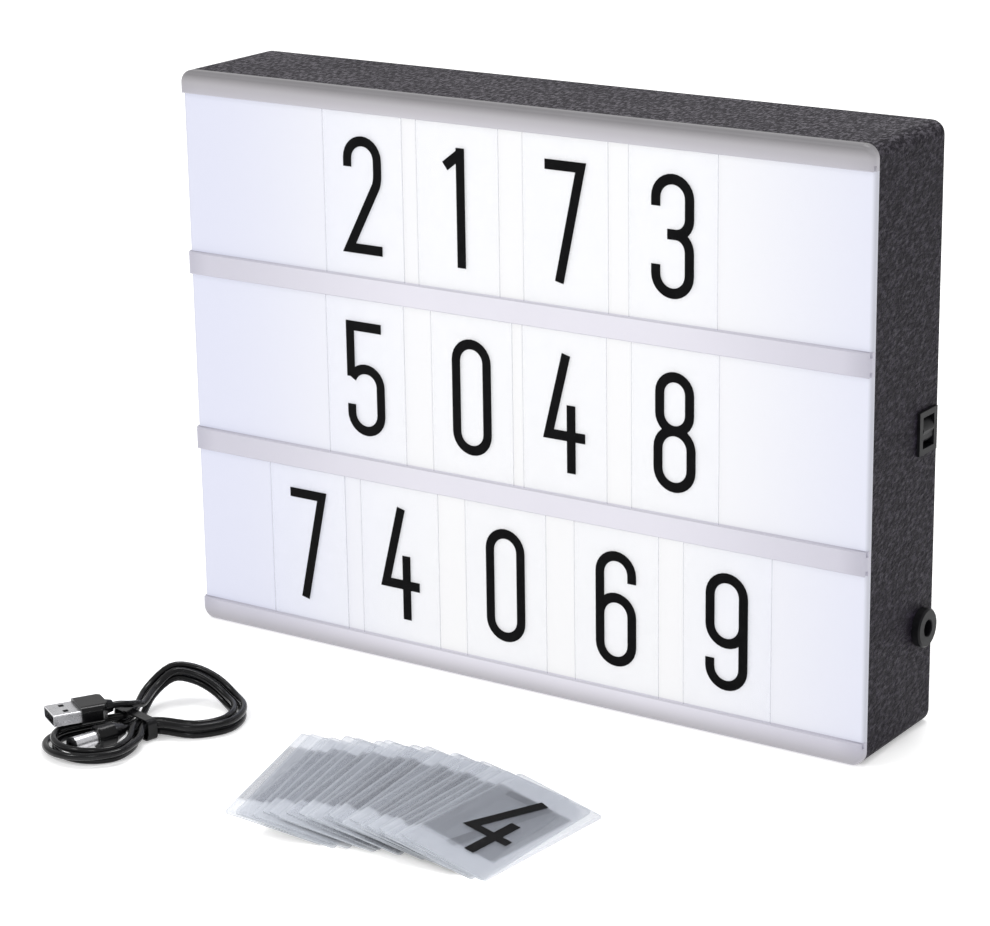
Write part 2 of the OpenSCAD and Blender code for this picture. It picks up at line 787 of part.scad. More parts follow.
module wires_black() {
    color([0.08, 0.08, 0.08]) {
        // battery to the socket, under the bay
        wire([[-bay_w / 2, cell_y, lead_z], [-bay_w / 2 - 6, cell_y, lead_z],
            [-bay_w / 2 - 6, cell_y, jack_z + 8], [lug_x - 30, cell_y, jack_z + 8],
            [lug_x - 8, side_y + lug_places[1][0], jack_z + lug_places[1][1]],
            [lug_x, side_y + lug_places[1][0], jack_z + lug_places[1][1]]]);
        for (i = [0, 1])
            wire([[-board_end + 8, pad_y, board_z[i] + board_h / 2 - 3],
                [-board_end + 8, pad_y, board_z[i + 1] - board_h / 2 + 3]]);
    }
}

// ------------------------------------------------------- tubes of cable

function unit(v) = v / norm(v);

// Direction of a path at point i
function heading(path, i) =
    unit(path[min(i + 1, len(path) - 1)] - path[max(i - 1, 0)]);

// Side vectors carried along the path with the least twist
function carry_sides(path, i = 1, out = []) =
    i == 1 && len(out) == 0
        ? carry_sides(path, 1, [first_side(heading(path, 0))])
        : i >= len(path) ? out
        : let (t = heading(path, i), s = out[i - 1], flat = s - (s * t) * t)
            carry_sides(path, i + 1, concat(out, [unit(flat)]));

function first_side(t) =
    unit(abs(t[2]) > 0.9 ? cross(t, [1, 0, 0]) : cross(t, [0, 0, 1]));

// Tube of diameter d swept along a path, one ring at each of its points
module tube(path, d, sides) {
    side = carry_sides(path);
    points = [for (i = [0 : len(path) - 1])
        let (t = heading(path, i), s = side[i], n = cross(t, s))
        for (k = [0 : sides - 1])
            let (a = 360 * (k + 0.5) / sides)
            path[i] + d / 2 * (cos(a) * s + sin(a) * n)];
    walls = [for (i = [0 : len(path) - 2], k = [0 : sides - 1])
        let (a = i * sides + k, b = i * sides + (k + 1) % sides)
        each [[a, b + sides, b], [a, a + sides, b + sides]]];
    last = (len(path) - 1) * sides;
    caps = [for (k = [1 : sides - 2])
        each [[0, k, k + 1], [last, last + k + 1, last + k]]];
    polyhedron(points, concat(walls, caps));
}

// Half width of the hank at u, for a strand that lies off outside the inmost one
function lobe_run(u, run, r, off) =
    waist_in + off + (r - waist_in) * (1 - cos(180 * u / run)) / 2;

// Point of the inmost loop at turn t: 0 near end, 0.25 waist, 0.5 far end
function loop_point(t) =
    let (f = t - floor(t), side = f < 0.5 ? -1 : 1, g = f < 0.5 ? f : 1 - f)
    g < 0.13 ? [-near_run - near_end * cos(90 * g / 0.13), side * near_r * sin(90 * g / 0.13)]
    : g < 0.25 ? let (u = near_run * (0.25 - g) / 0.12) [-u, side * lobe_run(u, near_run, near_r, 0)]
    : g < 0.36 ? let (u = far_run * (g - 0.25) / 0.11) [u, side * lobe_run(u, far_run, far_r, 0)]
    : [far_run + far_end * sin(90 * (g - 0.36) / 0.14),
        side * far_r * cos(90 * (g - 0.36) / 0.14)];

// The same point moved outwards by off, square to the loop
function loop_offset(t, off) =
    let (p = loop_point(t), d = unit(loop_point(t + 0.004) - loop_point(t - 0.004)))
    p + off * [d[1], -d[0]];

function smooth(f) = let (g = max(0, min(1, f))) g * g * (3 - 2 * g);

// Height of a strand: layer by layer, lifted over the tie at the waist, and with
// the far lobe springing up a little along its back
function strand_z(t, p) =
    cord_d / 2 + layer_h * smooth((t - hank_loops + 0.22) / 0.4)
    + tie_lift * smooth(1.6 - abs(p[0]) / 8)
    + lobe_lift * smooth((p[0] - 4) / 22) * smooth((p[1] + 4) / 26);

// The hank's middle line bends at the waist: point u along it, v to its side
function bent(p) =
    let (k = hank_bend / (2 * bend_half), s = max(0, min(2 * bend_half, bend_half - p[0])),
        a = k * s, q = 180 / PI / k, rest = bend_half - p[0] - s)
    p[0] > bend_half ? p
    : [bend_half - q * sin(a) - rest * cos(a) - p[1] * sin(a),
        -q * (1 - cos(a)) - rest * sin(a) + p[1] * cos(a)];

// A point [u, v, z] of a lead, bent with the hank
function bent_lead(p) = let (b = bent(p)) [b[0], b[1], p[2]];

// The hank spirals out over its first layer and back in over its second
function hank_point(t) =
    let (off = cord_step * (t < hank_loops ? t : 2 * hank_loops - t),
        p = loop_offset(t, off), b = bent(p))
    [b[0], b[1], strand_z(t, p)];

hank_from = 0.25;
hank_to = 2 * hank_loops - 0.31;
hank_rings = (hank_to - hank_from) * loop_rings;

// Leads from the two plugs into the hank, in hank coordinates; the flat plug's runs over
// the tie
dc_aside = 8;
dc_lead = [[-8.5, -3, 4.75], [-6.4, -2.7, 4.5], [-3.4, -2.1, 3.2]];
usb_lead = [[8, 7, 7.8], [4, 5, 9.1], [0, 4.6, 10.1], [-3, 5.6, 10.7], [-5.5, 6.5, 10.7]];

cord_path = concat([for (p = dc_lead) bent_lead(p)],
    [for (i = [0 : hank_rings]) hank_point(hank_from + i / loop_rings)],
    [for (p = usb_lead) bent_lead(p)]);

// Least gap of the cable to itself, on three points a ring step
fine_path = [for (i = [0 : len(cord_path) - 2], k = [0 : 2])
    cord_path[i] + (cord_path[i + 1] - cord_path[i]) * k / 3];
near_points = 9;
self_gap = min([for (i = [0 : len(fine_path) - 1 - near_points])
    min([for (j = [i + near_points : len(fine_path) - 1]) norm(fine_path[i] - fine_path[j])])])
    - cord_d;
cord_length = sum_of([for (i = [0 : len(cord_path) - 2]) norm(cord_path[i + 1] - cord_path[i])]);
function sum_of(list, i = 0, total = 0) =
    i >= len(list) ? total : sum_of(list, i + 1, total + list[i]);
echo(least_gap_of_the_cable_to_itself = self_gap, length_of_the_cable = cord_length);

module in_hank() {
    translate([hank_at[0], hank_at[1], 0]) rotate(hank_turn) children();
}

module cable_hank() {
    color([0.07, 0.07, 0.08]) in_hank() tube(cord_path, cord_d, tube_sides);
}

tie_half = waist_in + (2 * hank_loops - 0.25) / 2 * cord_step + cord_d / 2 + 4 * seat;

module cable_tie() {
    top = tie_lift + layer_h + cord_d + 2 * seat;
    color([0.05, 0.05, 0.05]) in_hank() translate(bent([0, 0])) rotate(hank_bend / 2)
        translate([-tie_w / 2, 0, top / 2 + tie_t / 2]) rotate([90, 0, 90])
            linear_extrude(tie_w) difference() {
                rounded_rect(2 * tie_half + 2 * tie_t, top + tie_t, 2);
                rounded_rect(2 * tie_half, top - tie_t, 1.4);
            }
}

// ------------------------------------------------------------------- plugs

dc_grip_d = 9;
dc_grip_l = 12;
dc_barrel_d = 5.5;
dc_barrel_l = 9.5;
dc_collar_l = 1.2;
usb_shell_w = 12;
usb_shell_h = 4.5;
usb_shell_l = 10.5;
usb_grip_w = 13.6;
usb_grip_h = 7;
usb_grip_l = 13.5;
usb_sheet_t = 0.4;

// Draws along +Z from the cable's end towards the plug's tip
module at_dc() {
    in_hank() translate(cord_path[0]) rotate(hank_bend - dc_aside) rotate([0, -90, 0]) children();
}

usb_end = cord_path[len(cord_path) - 1];
usb_way = unit(usb_end - cord_path[len(cord_path) - 2]);

module at_usb() {
    in_hank() translate(usb_end) rotate(atan2(usb_way[1], usb_way[0]))
        rotate([0, 90, 0]) rotate(90) children();
}

module dc_plug_grip() {
    color([0.08, 0.08, 0.09]) at_dc() rotate_extrude() polygon([[0, 0], [2.3, 0], [2.8, 1.5],
        [dc_grip_d / 2 - 0.6, 4], [dc_grip_d / 2, 5], [dc_grip_d / 2, dc_grip_l - 0.8],
        [dc_grip_d / 2 - 0.8, dc_grip_l], [0, dc_grip_l]]);
}

module dc_plug_barrel() {
    color([0.85, 0.85, 0.86]) at_dc() translate([0, 0, dc_grip_l]) difference() {
        cylinder(d = dc_barrel_d, h = dc_barrel_l);
        translate([0, 0, 1]) cylinder(d = 4.4, h = dc_barrel_l);
    }
}

module dc_plug_collar() {
    color([0.06, 0.06, 0.06]) at_dc() translate([0, 0, dc_grip_l + 1]) difference() {
        union() {
            cylinder(d = 4.4, h = dc_barrel_l - 1);
            translate([0, 0, dc_barrel_l - 1]) cylinder(d = dc_barrel_d, h = dc_collar_l);
        }
        translate([0, 0, 0.6]) cylinder(d = 2.3, h = dc_barrel_l + dc_collar_l);
    }
}

module usb_plug_grip() {
    color([0.08, 0.08, 0.09]) at_usb() {
        intersection() {
            translate([0, 0, 3]) linear_extrude(usb_grip_l - 3)
                rounded_rect(usb_grip_w, usb_grip_h, 2);
            translate([0, usb_grip_h / 2 + 0.1, 0]) rotate([90, 0, 0])
                linear_extrude(usb_grip_h + 0.2)
                    polygon([[-4, 3], [4, 3], [usb_grip_w / 2, 5.5], [usb_grip_w / 2, usb_grip_l],
                        [-usb_grip_w / 2, usb_grip_l], [-usb_grip_w / 2, 5.5]]);
        }
        cylinder(d1 = 4.4, d2 = 6, h = 3.2);
    }
}

module usb_plug_shell() {
    color([0.8, 0.8, 0.82]) at_usb() translate([0, 0, usb_grip_l]) difference() {
        linear_extrude(usb_shell_l) rounded_rect(usb_shell_w, usb_shell_h, 0.5);
        translate([0, 0, 1]) linear_extrude(usb_shell_l)
            rounded_rect(usb_shell_w - 2 * usb_sheet_t, usb_shell_h - 2 * usb_sheet_t, 0.2);
        for (x = [-1, 1]) translate([x * 2.8, 0, usb_shell_l - 5.5])
            cube([2.2, usb_shell_h + 1, 2], center = true);
    }
}

module usb_plug_tongue() {
    color([0.1, 0.1, 0.1]) at_usb() translate([0, usb_shell_h / 2 - usb_sheet_t - 1, usb_grip_l + 1])
        translate([-usb_shell_w / 2 + 0.7, -1, 0]) cube([usb_shell_w - 1.4, 1.9, usb_shell_l - 2]);
}

case();
lid();
rail(3);  // rail_top
rail(2);  // rail_upper
rail(1);  // rail_lower
rail(0);  // rail_bottom
card(0, 0);  // card_top_1
card(0, 1);  // card_top_2
card(0, 2);  // card_top_3
card(0, 3);  // card_top_4
card(1, 0);  // card_mid_1
card(1, 1);  // card_mid_2
card(1, 2);  // card_mid_3
card(1, 3);  // card_mid_4
card(2, 0);  // card_low_1
card(2, 1);  // card_low_2
card(2, 2);  // card_low_3
card(2, 3);  // card_low_4
card(2, 4);  // card_low_5
reflector();
light_boards();
lights();
battery_bay();
battery_contacts();
battery_springs();
battery_door();
lid_screws();
switch_body();
switch_rocker();
switch_terminals();
jack_socket();
jack_pin();
jack_nut();
jack_lugs();
wires_red();
wires_black();
spare_card_fan();
cable_hank();
cable_tie();
dc_plug_grip();
dc_plug_barrel();
dc_plug_collar();
usb_plug_grip();
usb_plug_shell();
usb_plug_tongue();
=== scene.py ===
# %% [markdown]
# # A cinema light box, dressed for its photograph
# The box is a dark tray with a glowing white front. Four rails run across the front
# and hold clear cards, each printed with one black character. A fan of spare cards
# and a tied cable lie in front of it. The hard shapes come ready from the CAD frame;
# here they get their finishes, and the soft and thin things are built.

# %% Load the frame
import math

import bpy
from mathutils import Matrix, Vector


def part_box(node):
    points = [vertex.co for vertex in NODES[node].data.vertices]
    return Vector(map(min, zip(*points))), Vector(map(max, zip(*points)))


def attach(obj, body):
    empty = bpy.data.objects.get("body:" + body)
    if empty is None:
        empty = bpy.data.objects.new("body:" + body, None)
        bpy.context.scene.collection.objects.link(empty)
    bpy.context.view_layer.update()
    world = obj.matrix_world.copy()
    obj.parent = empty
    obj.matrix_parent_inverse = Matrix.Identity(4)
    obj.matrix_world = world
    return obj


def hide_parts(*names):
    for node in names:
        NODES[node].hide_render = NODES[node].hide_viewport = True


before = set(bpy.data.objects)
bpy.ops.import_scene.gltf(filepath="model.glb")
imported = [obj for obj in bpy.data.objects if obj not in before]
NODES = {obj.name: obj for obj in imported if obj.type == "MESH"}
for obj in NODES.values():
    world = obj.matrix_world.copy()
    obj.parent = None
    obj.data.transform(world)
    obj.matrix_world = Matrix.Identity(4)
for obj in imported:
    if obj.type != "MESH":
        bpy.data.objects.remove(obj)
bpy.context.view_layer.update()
MM = 0.001

# %% [markdown]
# ## The camera
# The camera stands to the right of the box, a little above its top, and looks down
# and to the left with a long lens, so the upright edges hardly converge. Its place
# was worked out from the corners of the box; yaw, pitch and roll are turned into a
# matrix directly, which is safer than guessing three Euler angles.

# %% Set up the camera
CAMERA_AT = Vector((0.62036, -0.94289, 0.43062))
YAW, PITCH, ROLL = -0.599478, -0.299197, -0.015494
FOCAL_PIXELS, IMAGE_WIDTH, SENSOR_MM = 3110.93, 990, 36


def aim_camera():
    forward = Vector((math.cos(PITCH) * math.sin(YAW), math.cos(PITCH) * math.cos(YAW), math.sin(PITCH)))
    right = forward.cross(Vector((0, 0, 1))).normalized()
    up = right.cross(forward)
    c, s = math.cos(ROLL), math.sin(ROLL)
    right, up = c * right + s * up, -s * right + c * up
    data = bpy.data.cameras.new("camera")
    data.sensor_width = SENSOR_MM
    data.lens = FOCAL_PIXELS / IMAGE_WIDTH * SENSOR_MM
    data.clip_end = 60
    camera = bpy.data.objects.new("camera", data)
    camera.matrix_world = Matrix.Translation(CAMERA_AT) @ Matrix((right, up, -forward)).transposed().to_4x4()
    bpy.context.scene.collection.objects.link(camera)
    bpy.context.scene.camera = camera
    return camera


camera = aim_camera()
print("camera lens", round(camera.data.lens, 2), "mm")

# %% [markdown]
# ## Small helpers
# Five helpers keep the later cells short. `node` adds one node to a tree and fills
# its inputs from numbers or from other sockets. `maths` does so for one sum, and
# `between` turns a value into 0 to 1 between two limits. `mesh_piece` makes an object
# from points and faces. `applied` turns an object with modifiers into a plain mesh,
# which is what a finished piece should be.

# %% Helpers for nodes and meshes


def node(tree, kind, inputs=None, **settings):
    made = tree.nodes.new(kind)
    for name, value in settings.items():
        setattr(made, name, value)
    for name, value in (inputs or {}).items():
        if isinstance(value, bpy.types.NodeSocket):
            tree.links.new(value, made.inputs[name])
        else:
            made.inputs[name].default_value = value
    return made


def maths(tree, operation, a, b=0.0, clamp=False):
    return node(tree, "ShaderNodeMath", {0: a, 1: b}, operation=operation, use_clamp=clamp).outputs[0]


def between(tree, value, start, end):
    return node(tree, "ShaderNodeMapRange", {"Value": value, "From Min": start, "From Max": end}).outputs[0]


def mesh_piece(name, points, faces, material=None):
    mesh = bpy.data.meshes.new(name)
    mesh.from_pydata([tuple(p) for p in points], [], faces)
    mesh.update()
    if material:
        mesh.materials.append(material)
    piece = bpy.data.objects.new(name, mesh)
    bpy.context.scene.collection.objects.link(piece)
    return piece


def applied(piece, name):
    bpy.context.view_layer.update()
    graph = bpy.context.evaluated_depsgraph_get()
    mesh = bpy.data.meshes.new_from_object(piece.evaluated_get(graph))
    mesh.name = name
    bpy.data.objects.remove(piece)
    done = bpy.data.objects.new(name, mesh)
    bpy.context.scene.collection.objects.link(done)
    return done


print("helpers:", *(f.__name__ for f in (node, maths, between, mesh_piece, applied)))

# %% [markdown]
# ## Effects that several finishes share
# Moulded plastic isn't perfectly even. One shader group draws the grain that the
# mould leaves, from cells and fine noise, a little longer along the box's depth. A
# second draws faint smudges where hands have been, and a mask on the faces that look
# up, for dust and for painted light from above. Both are built once and given their
# own sizes in each material. They return only numbers, and each material decides
# what to do with them.

# %% Shader groups for grain and smudges
GRAIN_STRETCH, GRAIN_WARP = (1.6, 0.55, 1.0), 0.0012
FLECK_FROM, FLECK_TO = 0.47, 0.62
SMUDGE_FROM, SMUDGE_TO = 0.35, 0.75
# How strongly faces that look up get dust and painted top light: a least share and a patchy share.
DUST_AND_LIGHT_LEAST, DUST_AND_LIGHT_PATCHES = 0.4, 0.3


def shader_group(name, inputs, outputs):
    tree = bpy.data.node_groups.new(name, "ShaderNodeTree")
    for label, value in inputs:
        socket = tree.interface.new_socket(label, in_out="INPUT", socket_type="NodeSocketFloat")
        socket.default_value = value
    for label in outputs:
        tree.interface.new_socket(label, in_out="OUTPUT", socket_type="NodeSocketFloat")
    return tree, tree.nodes.new("NodeGroupInput"), tree.nodes.new("NodeGroupOutput")


def build_mould_grain():
    tree, given, result = shader_group("mould grain", [("Grain mm", 1.2), ("Unevenness", 0.5)],
                                       ["Height", "Fleck"])
    even = node(tree, "ShaderNodeTexCoord").outputs["Object"]
    place = node(tree, "ShaderNodeVectorMath", {0: even, 1: GRAIN_STRETCH}, operation="MULTIPLY").outputs[0]
    per_metre = maths(tree, "DIVIDE", 1 / MM, given.outputs["Grain mm"])
    warp = node(tree, "ShaderNodeTexNoise", {"Vector": place, "Scale": per_metre, "Detail": 1.0})
    shift = node(tree, "ShaderNodeVectorMath", {0: warp.outputs["Color"], 1: (GRAIN_WARP,) * 3},
                 operation="MULTIPLY")
    moved = node(tree, "ShaderNodeVectorMath", {0: place, 1: shift.outputs[0]}, operation="ADD")
    cells = node(tree, "ShaderNodeTexVoronoi", {"Vector": moved.outputs[0], "Scale": per_metre},
                 feature="SMOOTH_F1")
    fine = node(tree, "ShaderNodeTexNoise",
                {"Vector": place, "Scale": maths(tree, "MULTIPLY", per_metre, 2.6), "Detail": 2.0})
    rough = maths(tree, "MULTIPLY", fine.outputs["Fac"], given.outputs["Unevenness"])
    hill = maths(tree, "SUBTRACT", 1.0, cells.outputs["Distance"])
    tree.links.new(maths(tree, "ADD", hill, rough), result.inputs["Height"])
    blotch = node(tree, "ShaderNodeTexNoise",
                  {"Vector": place, "Scale": maths(tree, "MULTIPLY", per_metre, 0.8), "Detail": 3.0,
                   "Roughness": 0.7})
    tree.links.new(between(tree, blotch.outputs["Fac"], FLECK_FROM, FLECK_TO), result.inputs["Fleck"])
    return tree


def build_smudges():
    tree, given, result = shader_group("smudges", [("Patch mm", 25.0)], ["Smudge", "Dust and top light"])
    coordinates = node(tree, "ShaderNodeTexCoord")
    per_metre = maths(tree, "DIVIDE", 1 / MM, given.outputs["Patch mm"])
    cloud = node(tree, "ShaderNodeTexNoise",
                 {"Vector": coordinates.outputs["Object"], "Scale": per_metre, "Detail": 4.0,
                  "Roughness": 0.6})
    soft = between(tree, cloud.outputs["Fac"], SMUDGE_FROM, SMUDGE_TO)
    tree.links.new(soft, result.inputs["Smudge"])
    # Faces that look up: a patchy mask for dust and for painted light from above.
    facing = node(tree, "ShaderNodeSeparateXYZ", {0: coordinates.outputs["Normal"]})
    up = maths(tree, "MAXIMUM", facing.outputs["Z"], 0.0)
    patchy = maths(tree, "MULTIPLY_ADD", soft, DUST_AND_LIGHT_PATCHES)
    patchy.node.inputs[2].default_value = DUST_AND_LIGHT_LEAST
    tree.links.new(maths(tree, "MULTIPLY", up, patchy), result.inputs["Dust and top light"])
    return tree


MOULD_GRAIN, SMUDGES = build_mould_grain(), build_smudges()
print("shader groups:", MOULD_GRAIN.name, "and", SMUDGES.name)

# %% [markdown]
# ## A starting point for every finish
# `finish` makes a material with one Principled shader. Numbers that are the same all
# over the surface go straight onto its sockets. `mixed` blends two colours by a mask
# and `spread` maps a mask onto a small range of values, such as roughness. `grain`
# and `smudge` use the two groups above, `coordinate` reads one number of a point's
# place, and `raise_bumps` lets the light see a height in millimetres.

# %% Helpers for finishes


def finish(name, **values):
    material = bpy.data.materials.new(name)
    material.use_nodes = True
    tree = material.node_tree
    shader = tree.nodes["Principled BSDF"]
    for label, value in values.items():
        shader.inputs[label.replace("_", " ")].default_value = value
    return material, tree, shader


def mixed(tree, mask, low, high):
    made = node(tree, "ShaderNodeMix", {0: mask}, data_type="RGBA")
    for socket, value in ((made.inputs[6], low), (made.inputs[7], high)):
        if isinstance(value, bpy.types.NodeSocket):
            tree.links.new(value, socket)
        else:
            socket.default_value = (*value, 1)
    return made.outputs[2]


def spread(tree, mask, low, high):
    return node(tree, "ShaderNodeMapRange", {"Value": mask, "To Min": low, "To Max": high}).outputs[0]


def grain(tree, size, uneven):
    made = node(tree, "ShaderNodeGroup", node_tree=MOULD_GRAIN)
    made.inputs["Grain mm"].default_value = size
    made.inputs["Unevenness"].default_value = uneven
    return made.outputs


def smudge(tree, size):
    made = node(tree, "ShaderNodeGroup", node_tree=SMUDGES)
    made.inputs["Patch mm"].default_value = size
    return made.outputs


def coordinate(tree, axis, kind="Object"):
    place = node(tree, "ShaderNodeSeparateXYZ", {0: node(tree, "ShaderNodeTexCoord").outputs[kind]})
    return place.outputs[axis]


def raise_bumps(tree, shader, height, depth_mm):
    bump = node(tree, "ShaderNodeBump", {"Height": height, "Distance": depth_mm * MM, "Strength": 1.0})
    tree.links.new(bump.outputs[0], shader.inputs["Normal"])


print("finish helpers:",
      *(f.__name__ for f in (finish, mixed, spread, grain, smudge, coordinate, raise_bumps)))

# %% [markdown]
# ## Grained charcoal plastic
# The tray is moulded in dark plastic with a coarse, leathery grain that hides
# scratches. The grain is far too fine to model, so it is a bump: rounded cells about
# a millimetre across with finer noise on them, and lighter flecks on the crests. The
# faces that look up turn paler, most of all on the flecks: partly a film of dust,
# partly painted light from above.

# %% The case's finish
# The last colour is the pale grey of dust and of painted light from above.
CHARCOAL, CHARCOAL_FLECK, DUST_AND_TOP_LIGHT = (0.0040, 0.0022, 0.0064), (0.0185, 0.0146, 0.0250), (0.23, 0.215, 0.24)


def charcoal_plastic(name, size, depth):
    material, tree, shader = finish(name, Specular_IOR_Level=0.14)
    marks, hands = grain(tree, size, 0.55), smudge(tree, 45.0)
    body = mixed(tree, marks["Fleck"], CHARCOAL, CHARCOAL_FLECK)
    on_flecks = spread(tree, marks["Fleck"], 0.04, 1.0)
    # Dust and painted light from above: flecks on faces that look up turn pale grey.
    dust_and_light_caught = maths(tree, "MULTIPLY", spread(tree, hands["Dust and top light"], 0.0, 0.70), on_flecks)
    tree.links.new(mixed(tree, dust_and_light_caught, body, DUST_AND_TOP_LIGHT), shader.inputs["Base Color"])
    tree.links.new(spread(tree, marks["Fleck"], 0.62, 0.5), shader.inputs["Roughness"])
    raise_bumps(tree, shader, marks["Height"], depth)
    return material


CASE = charcoal_plastic("charcoal plastic", 1.3, 0.55)
DOOR = charcoal_plastic("charcoal plastic, fine", 0.7, 0.16)
print("case finishes:", CASE.name, DOOR.name)

# %% [markdown]
# ## The glowing front
# Light boards behind the opal panel make it glow. It is whitest in the middle and
# turns a cool lavender towards the sides, where less light arrives. The panel's own
# colour stays low and its emission supplies the rest, so the glow never burns out
# all the shading. A painted picture of the glow would do too, but masks made from a
# point's own place stay sharp and keep their size in millimetres, so they come first.

# %% Masks across the front
FRONT_TOP, CROWN_SHADE_FROM, HALF_WIDTH = 224, 219, 150


def ramp(tree, value, start_mm, end_mm):
    made = node(tree, "ShaderNodeMapRange",
                {"Value": value, "From Min": start_mm * MM, "From Max": end_mm * MM},
                interpolation_type="SMOOTHSTEP")
    return made.outputs[0]


def away_from_middle(tree, start_mm, end_mm, middle_mm=0.0):
    aside = maths(tree, "SUBTRACT", coordinate(tree, "X"), middle_mm * MM)
    return ramp(tree, maths(tree, "ABSOLUTE", aside), start_mm, end_mm)


def crown_shade(tree):
    """1 on the rounded top edge of the top rail, which turns away from the glow and gets painted shade."""
    return ramp(tree, coordinate(tree, "Z"), CROWN_SHADE_FROM, FRONT_TOP)


print("front masks:", 2 * HALF_WIDTH, "mm wide and", FRONT_TOP, "mm high")

# %% [markdown]
# ## Rails in front of the glow
# The rails are no lamps: the light that reaches them from the panel is painted on
# as a glow. They are thicker than the panel and lie outside, so they glow less, and
# least of all at their ends, at the foot and on the rounded top edge. At the top, at
# the foot and on that edge, painted shade darkens their own colour too, and a little
# towards the sides. Where a rail lies on it, the panel takes the same painted glow
# and shade in bands. The panel's lamp is the stronger one, so one function can scale
# the glow and serve both.

# %% Tones of the rails
RAIL_HEIGHT = NODES["rail_top"].dimensions.z / MM
RAIL_PITCH = (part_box("rail_upper")[0].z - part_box("rail_lower")[0].z) / MM
BAND_SLACK = 0.05
PANEL_GLOW, RAIL_GLOW = 0.60, 0.30
# Where the rails' painted shade begins, in mm: near the top, at the foot, at the ends.
SHADE_FROM, FOOT_SHADE_FROM, FOOT_SHADE_TO, ENDS_SHADE_FROM = 206, 9, -1, 138


def rail_glow_and_shade(tree, share=1.0):
    """Painted glow of the rails, and their colour with painted shade; share scales the glow for a stronger
    lamp.
    """
    def glow_of(*colour):
        return tuple(share * c for c in colour)

    far, ends = away_from_middle(tree, 40, 160, 10), away_from_middle(tree, ENDS_SHADE_FROM, HALF_WIDTH)
    # Painted shade near the top of the top rail and at the foot of the bottom rail.
    high = ramp(tree, coordinate(tree, "Z"), SHADE_FROM, FRONT_TOP)
    low = ramp(tree, coordinate(tree, "Z"), FOOT_SHADE_FROM, FOOT_SHADE_TO)
    # Painted glow, fading towards the sides; painted shade dims it at the ends, the top, the foot and most on
    # the rounded top edge.
    glow = mixed(tree, far, glow_of(1.12, 1.10, 1.20), glow_of(0.74, 0.73, 0.82))
    for mask, colour in ((ends, (0.42, 0.42, 0.50)), (low, (0.40, 0.39, 0.43)),
                         (high, (0.30, 0.29, 0.31)), (crown_shade(tree), (0.06, 0.06, 0.07))):
        glow = mixed(tree, mask, glow, glow_of(*colour))
    # Painted shade in the rails' own colour: darker towards the sides, at the top, at the foot and most on
    # the rounded top edge.
    body = mixed(tree, far, (0.40, 0.39, 0.43), (0.33, 0.32, 0.37))
    body = mixed(tree, maths(tree, "MAXIMUM", high, low), body, (0.26, 0.25, 0.26))
    body = mixed(tree, crown_shade(tree), body, (0.15, 0.145, 0.15))
    touched = maths(tree, "MULTIPLY", smudge(tree, 30.0)["Smudge"], 0.12)
    return glow, mixed(tree, touched, body, (0.28, 0.28, 0.30))


def rail_bands(tree):
    """1 on the panel where a rail lies on it, with a little slack on both sides."""
    height = maths(tree, "ADD", coordinate(tree, "Z"), BAND_SLACK * MM)
    over_rail = maths(tree, "MODULO", height, RAIL_PITCH * MM)
    return maths(tree, "LESS_THAN", over_rail, (RAIL_HEIGHT + 2 * BAND_SLACK) * MM)


print("rails:", round(RAIL_HEIGHT, 2), "mm high, pitch", round(RAIL_PITCH, 2), "mm")

# %% Finishes of the panel and the rails


def opal_panel():
    material, tree, shader = finish("opal panel", Roughness=0.38, Specular_IOR_Level=0.3,
                                    Emission_Strength=PANEL_GLOW)
    far, ends = away_from_middle(tree, 40, 165, 18), away_from_middle(tree, 148.2, HALF_WIDTH)
    hands = smudge(tree, 60.0)
    glow = mixed(tree, far, (1.0, 1.0, 1.0), (0.72, 0.745, 0.91))
    # Painted shade: the glow dims steeply on the panel's rounded ends.
    glow = mixed(tree, maths(tree, "MULTIPLY", ends, 0.85), glow, (0.30, 0.31, 0.36))
    glow = mixed(tree, maths(tree, "MULTIPLY", hands["Smudge"], 0.05), glow, (0.85, 0.87, 0.95))
    # Painted shade: the panel's own colour is a little darker towards the sides.
    body = mixed(tree, far, (0.30, 0.30, 0.31), (0.27, 0.27, 0.30))
    rail_glow, rail_body_and_shade = rail_glow_and_shade(tree, RAIL_GLOW / PANEL_GLOW)
    # In bands behind the rails the panel takes the rails' painted glow and shade.
    bands = rail_bands(tree)
    tree.links.new(mixed(tree, bands, glow, rail_glow), shader.inputs["Emission Color"])
    tree.links.new(mixed(tree, bands, body, rail_body_and_shade), shader.inputs["Base Color"])
    raise_bumps(tree, shader, grain(tree, 0.5, 0.3)["Height"], 0.02)
    return material


def rail_plastic():
    material, tree, shader = finish("rail plastic", Roughness=0.42, Specular_IOR_Level=0.35,
                                    Emission_Strength=RAIL_GLOW)
    # Painted glow on the sloping faces, in one fixed tone, but not on the shaded top edge.
    bevel_glow = between(tree, maths(tree, "ABSOLUTE", coordinate(tree, "Z", "Normal")), 0.3, 0.6)
    bevel_glow = maths(tree, "MULTIPLY", bevel_glow, maths(tree, "SUBTRACT", 1.0, crown_shade(tree)))
    glow, body = rail_glow_and_shade(tree)
    tree.links.new(mixed(tree, bevel_glow, glow, (0.55, 0.55, 0.62)), shader.inputs["Emission Color"])
    tree.links.new(body, shader.inputs["Base Color"])
    raise_bumps(tree, shader, grain(tree, 0.6, 0.4)["Height"], 0.02)
    return material


PANEL, RAIL = opal_panel(), rail_plastic()
print("front finishes:", PANEL.name, RAIL.name)

# %% [markdown]
# ## Clear cards and black ink
# A card is thin clear film. Its faces are almost invisible, and its cut edges catch
# the light as fine grey lines. The mask for the edges comes from the surface normal
# in object space: a card's faces look along Y, its edges don't. The ink is matt black
# and hardly shines.

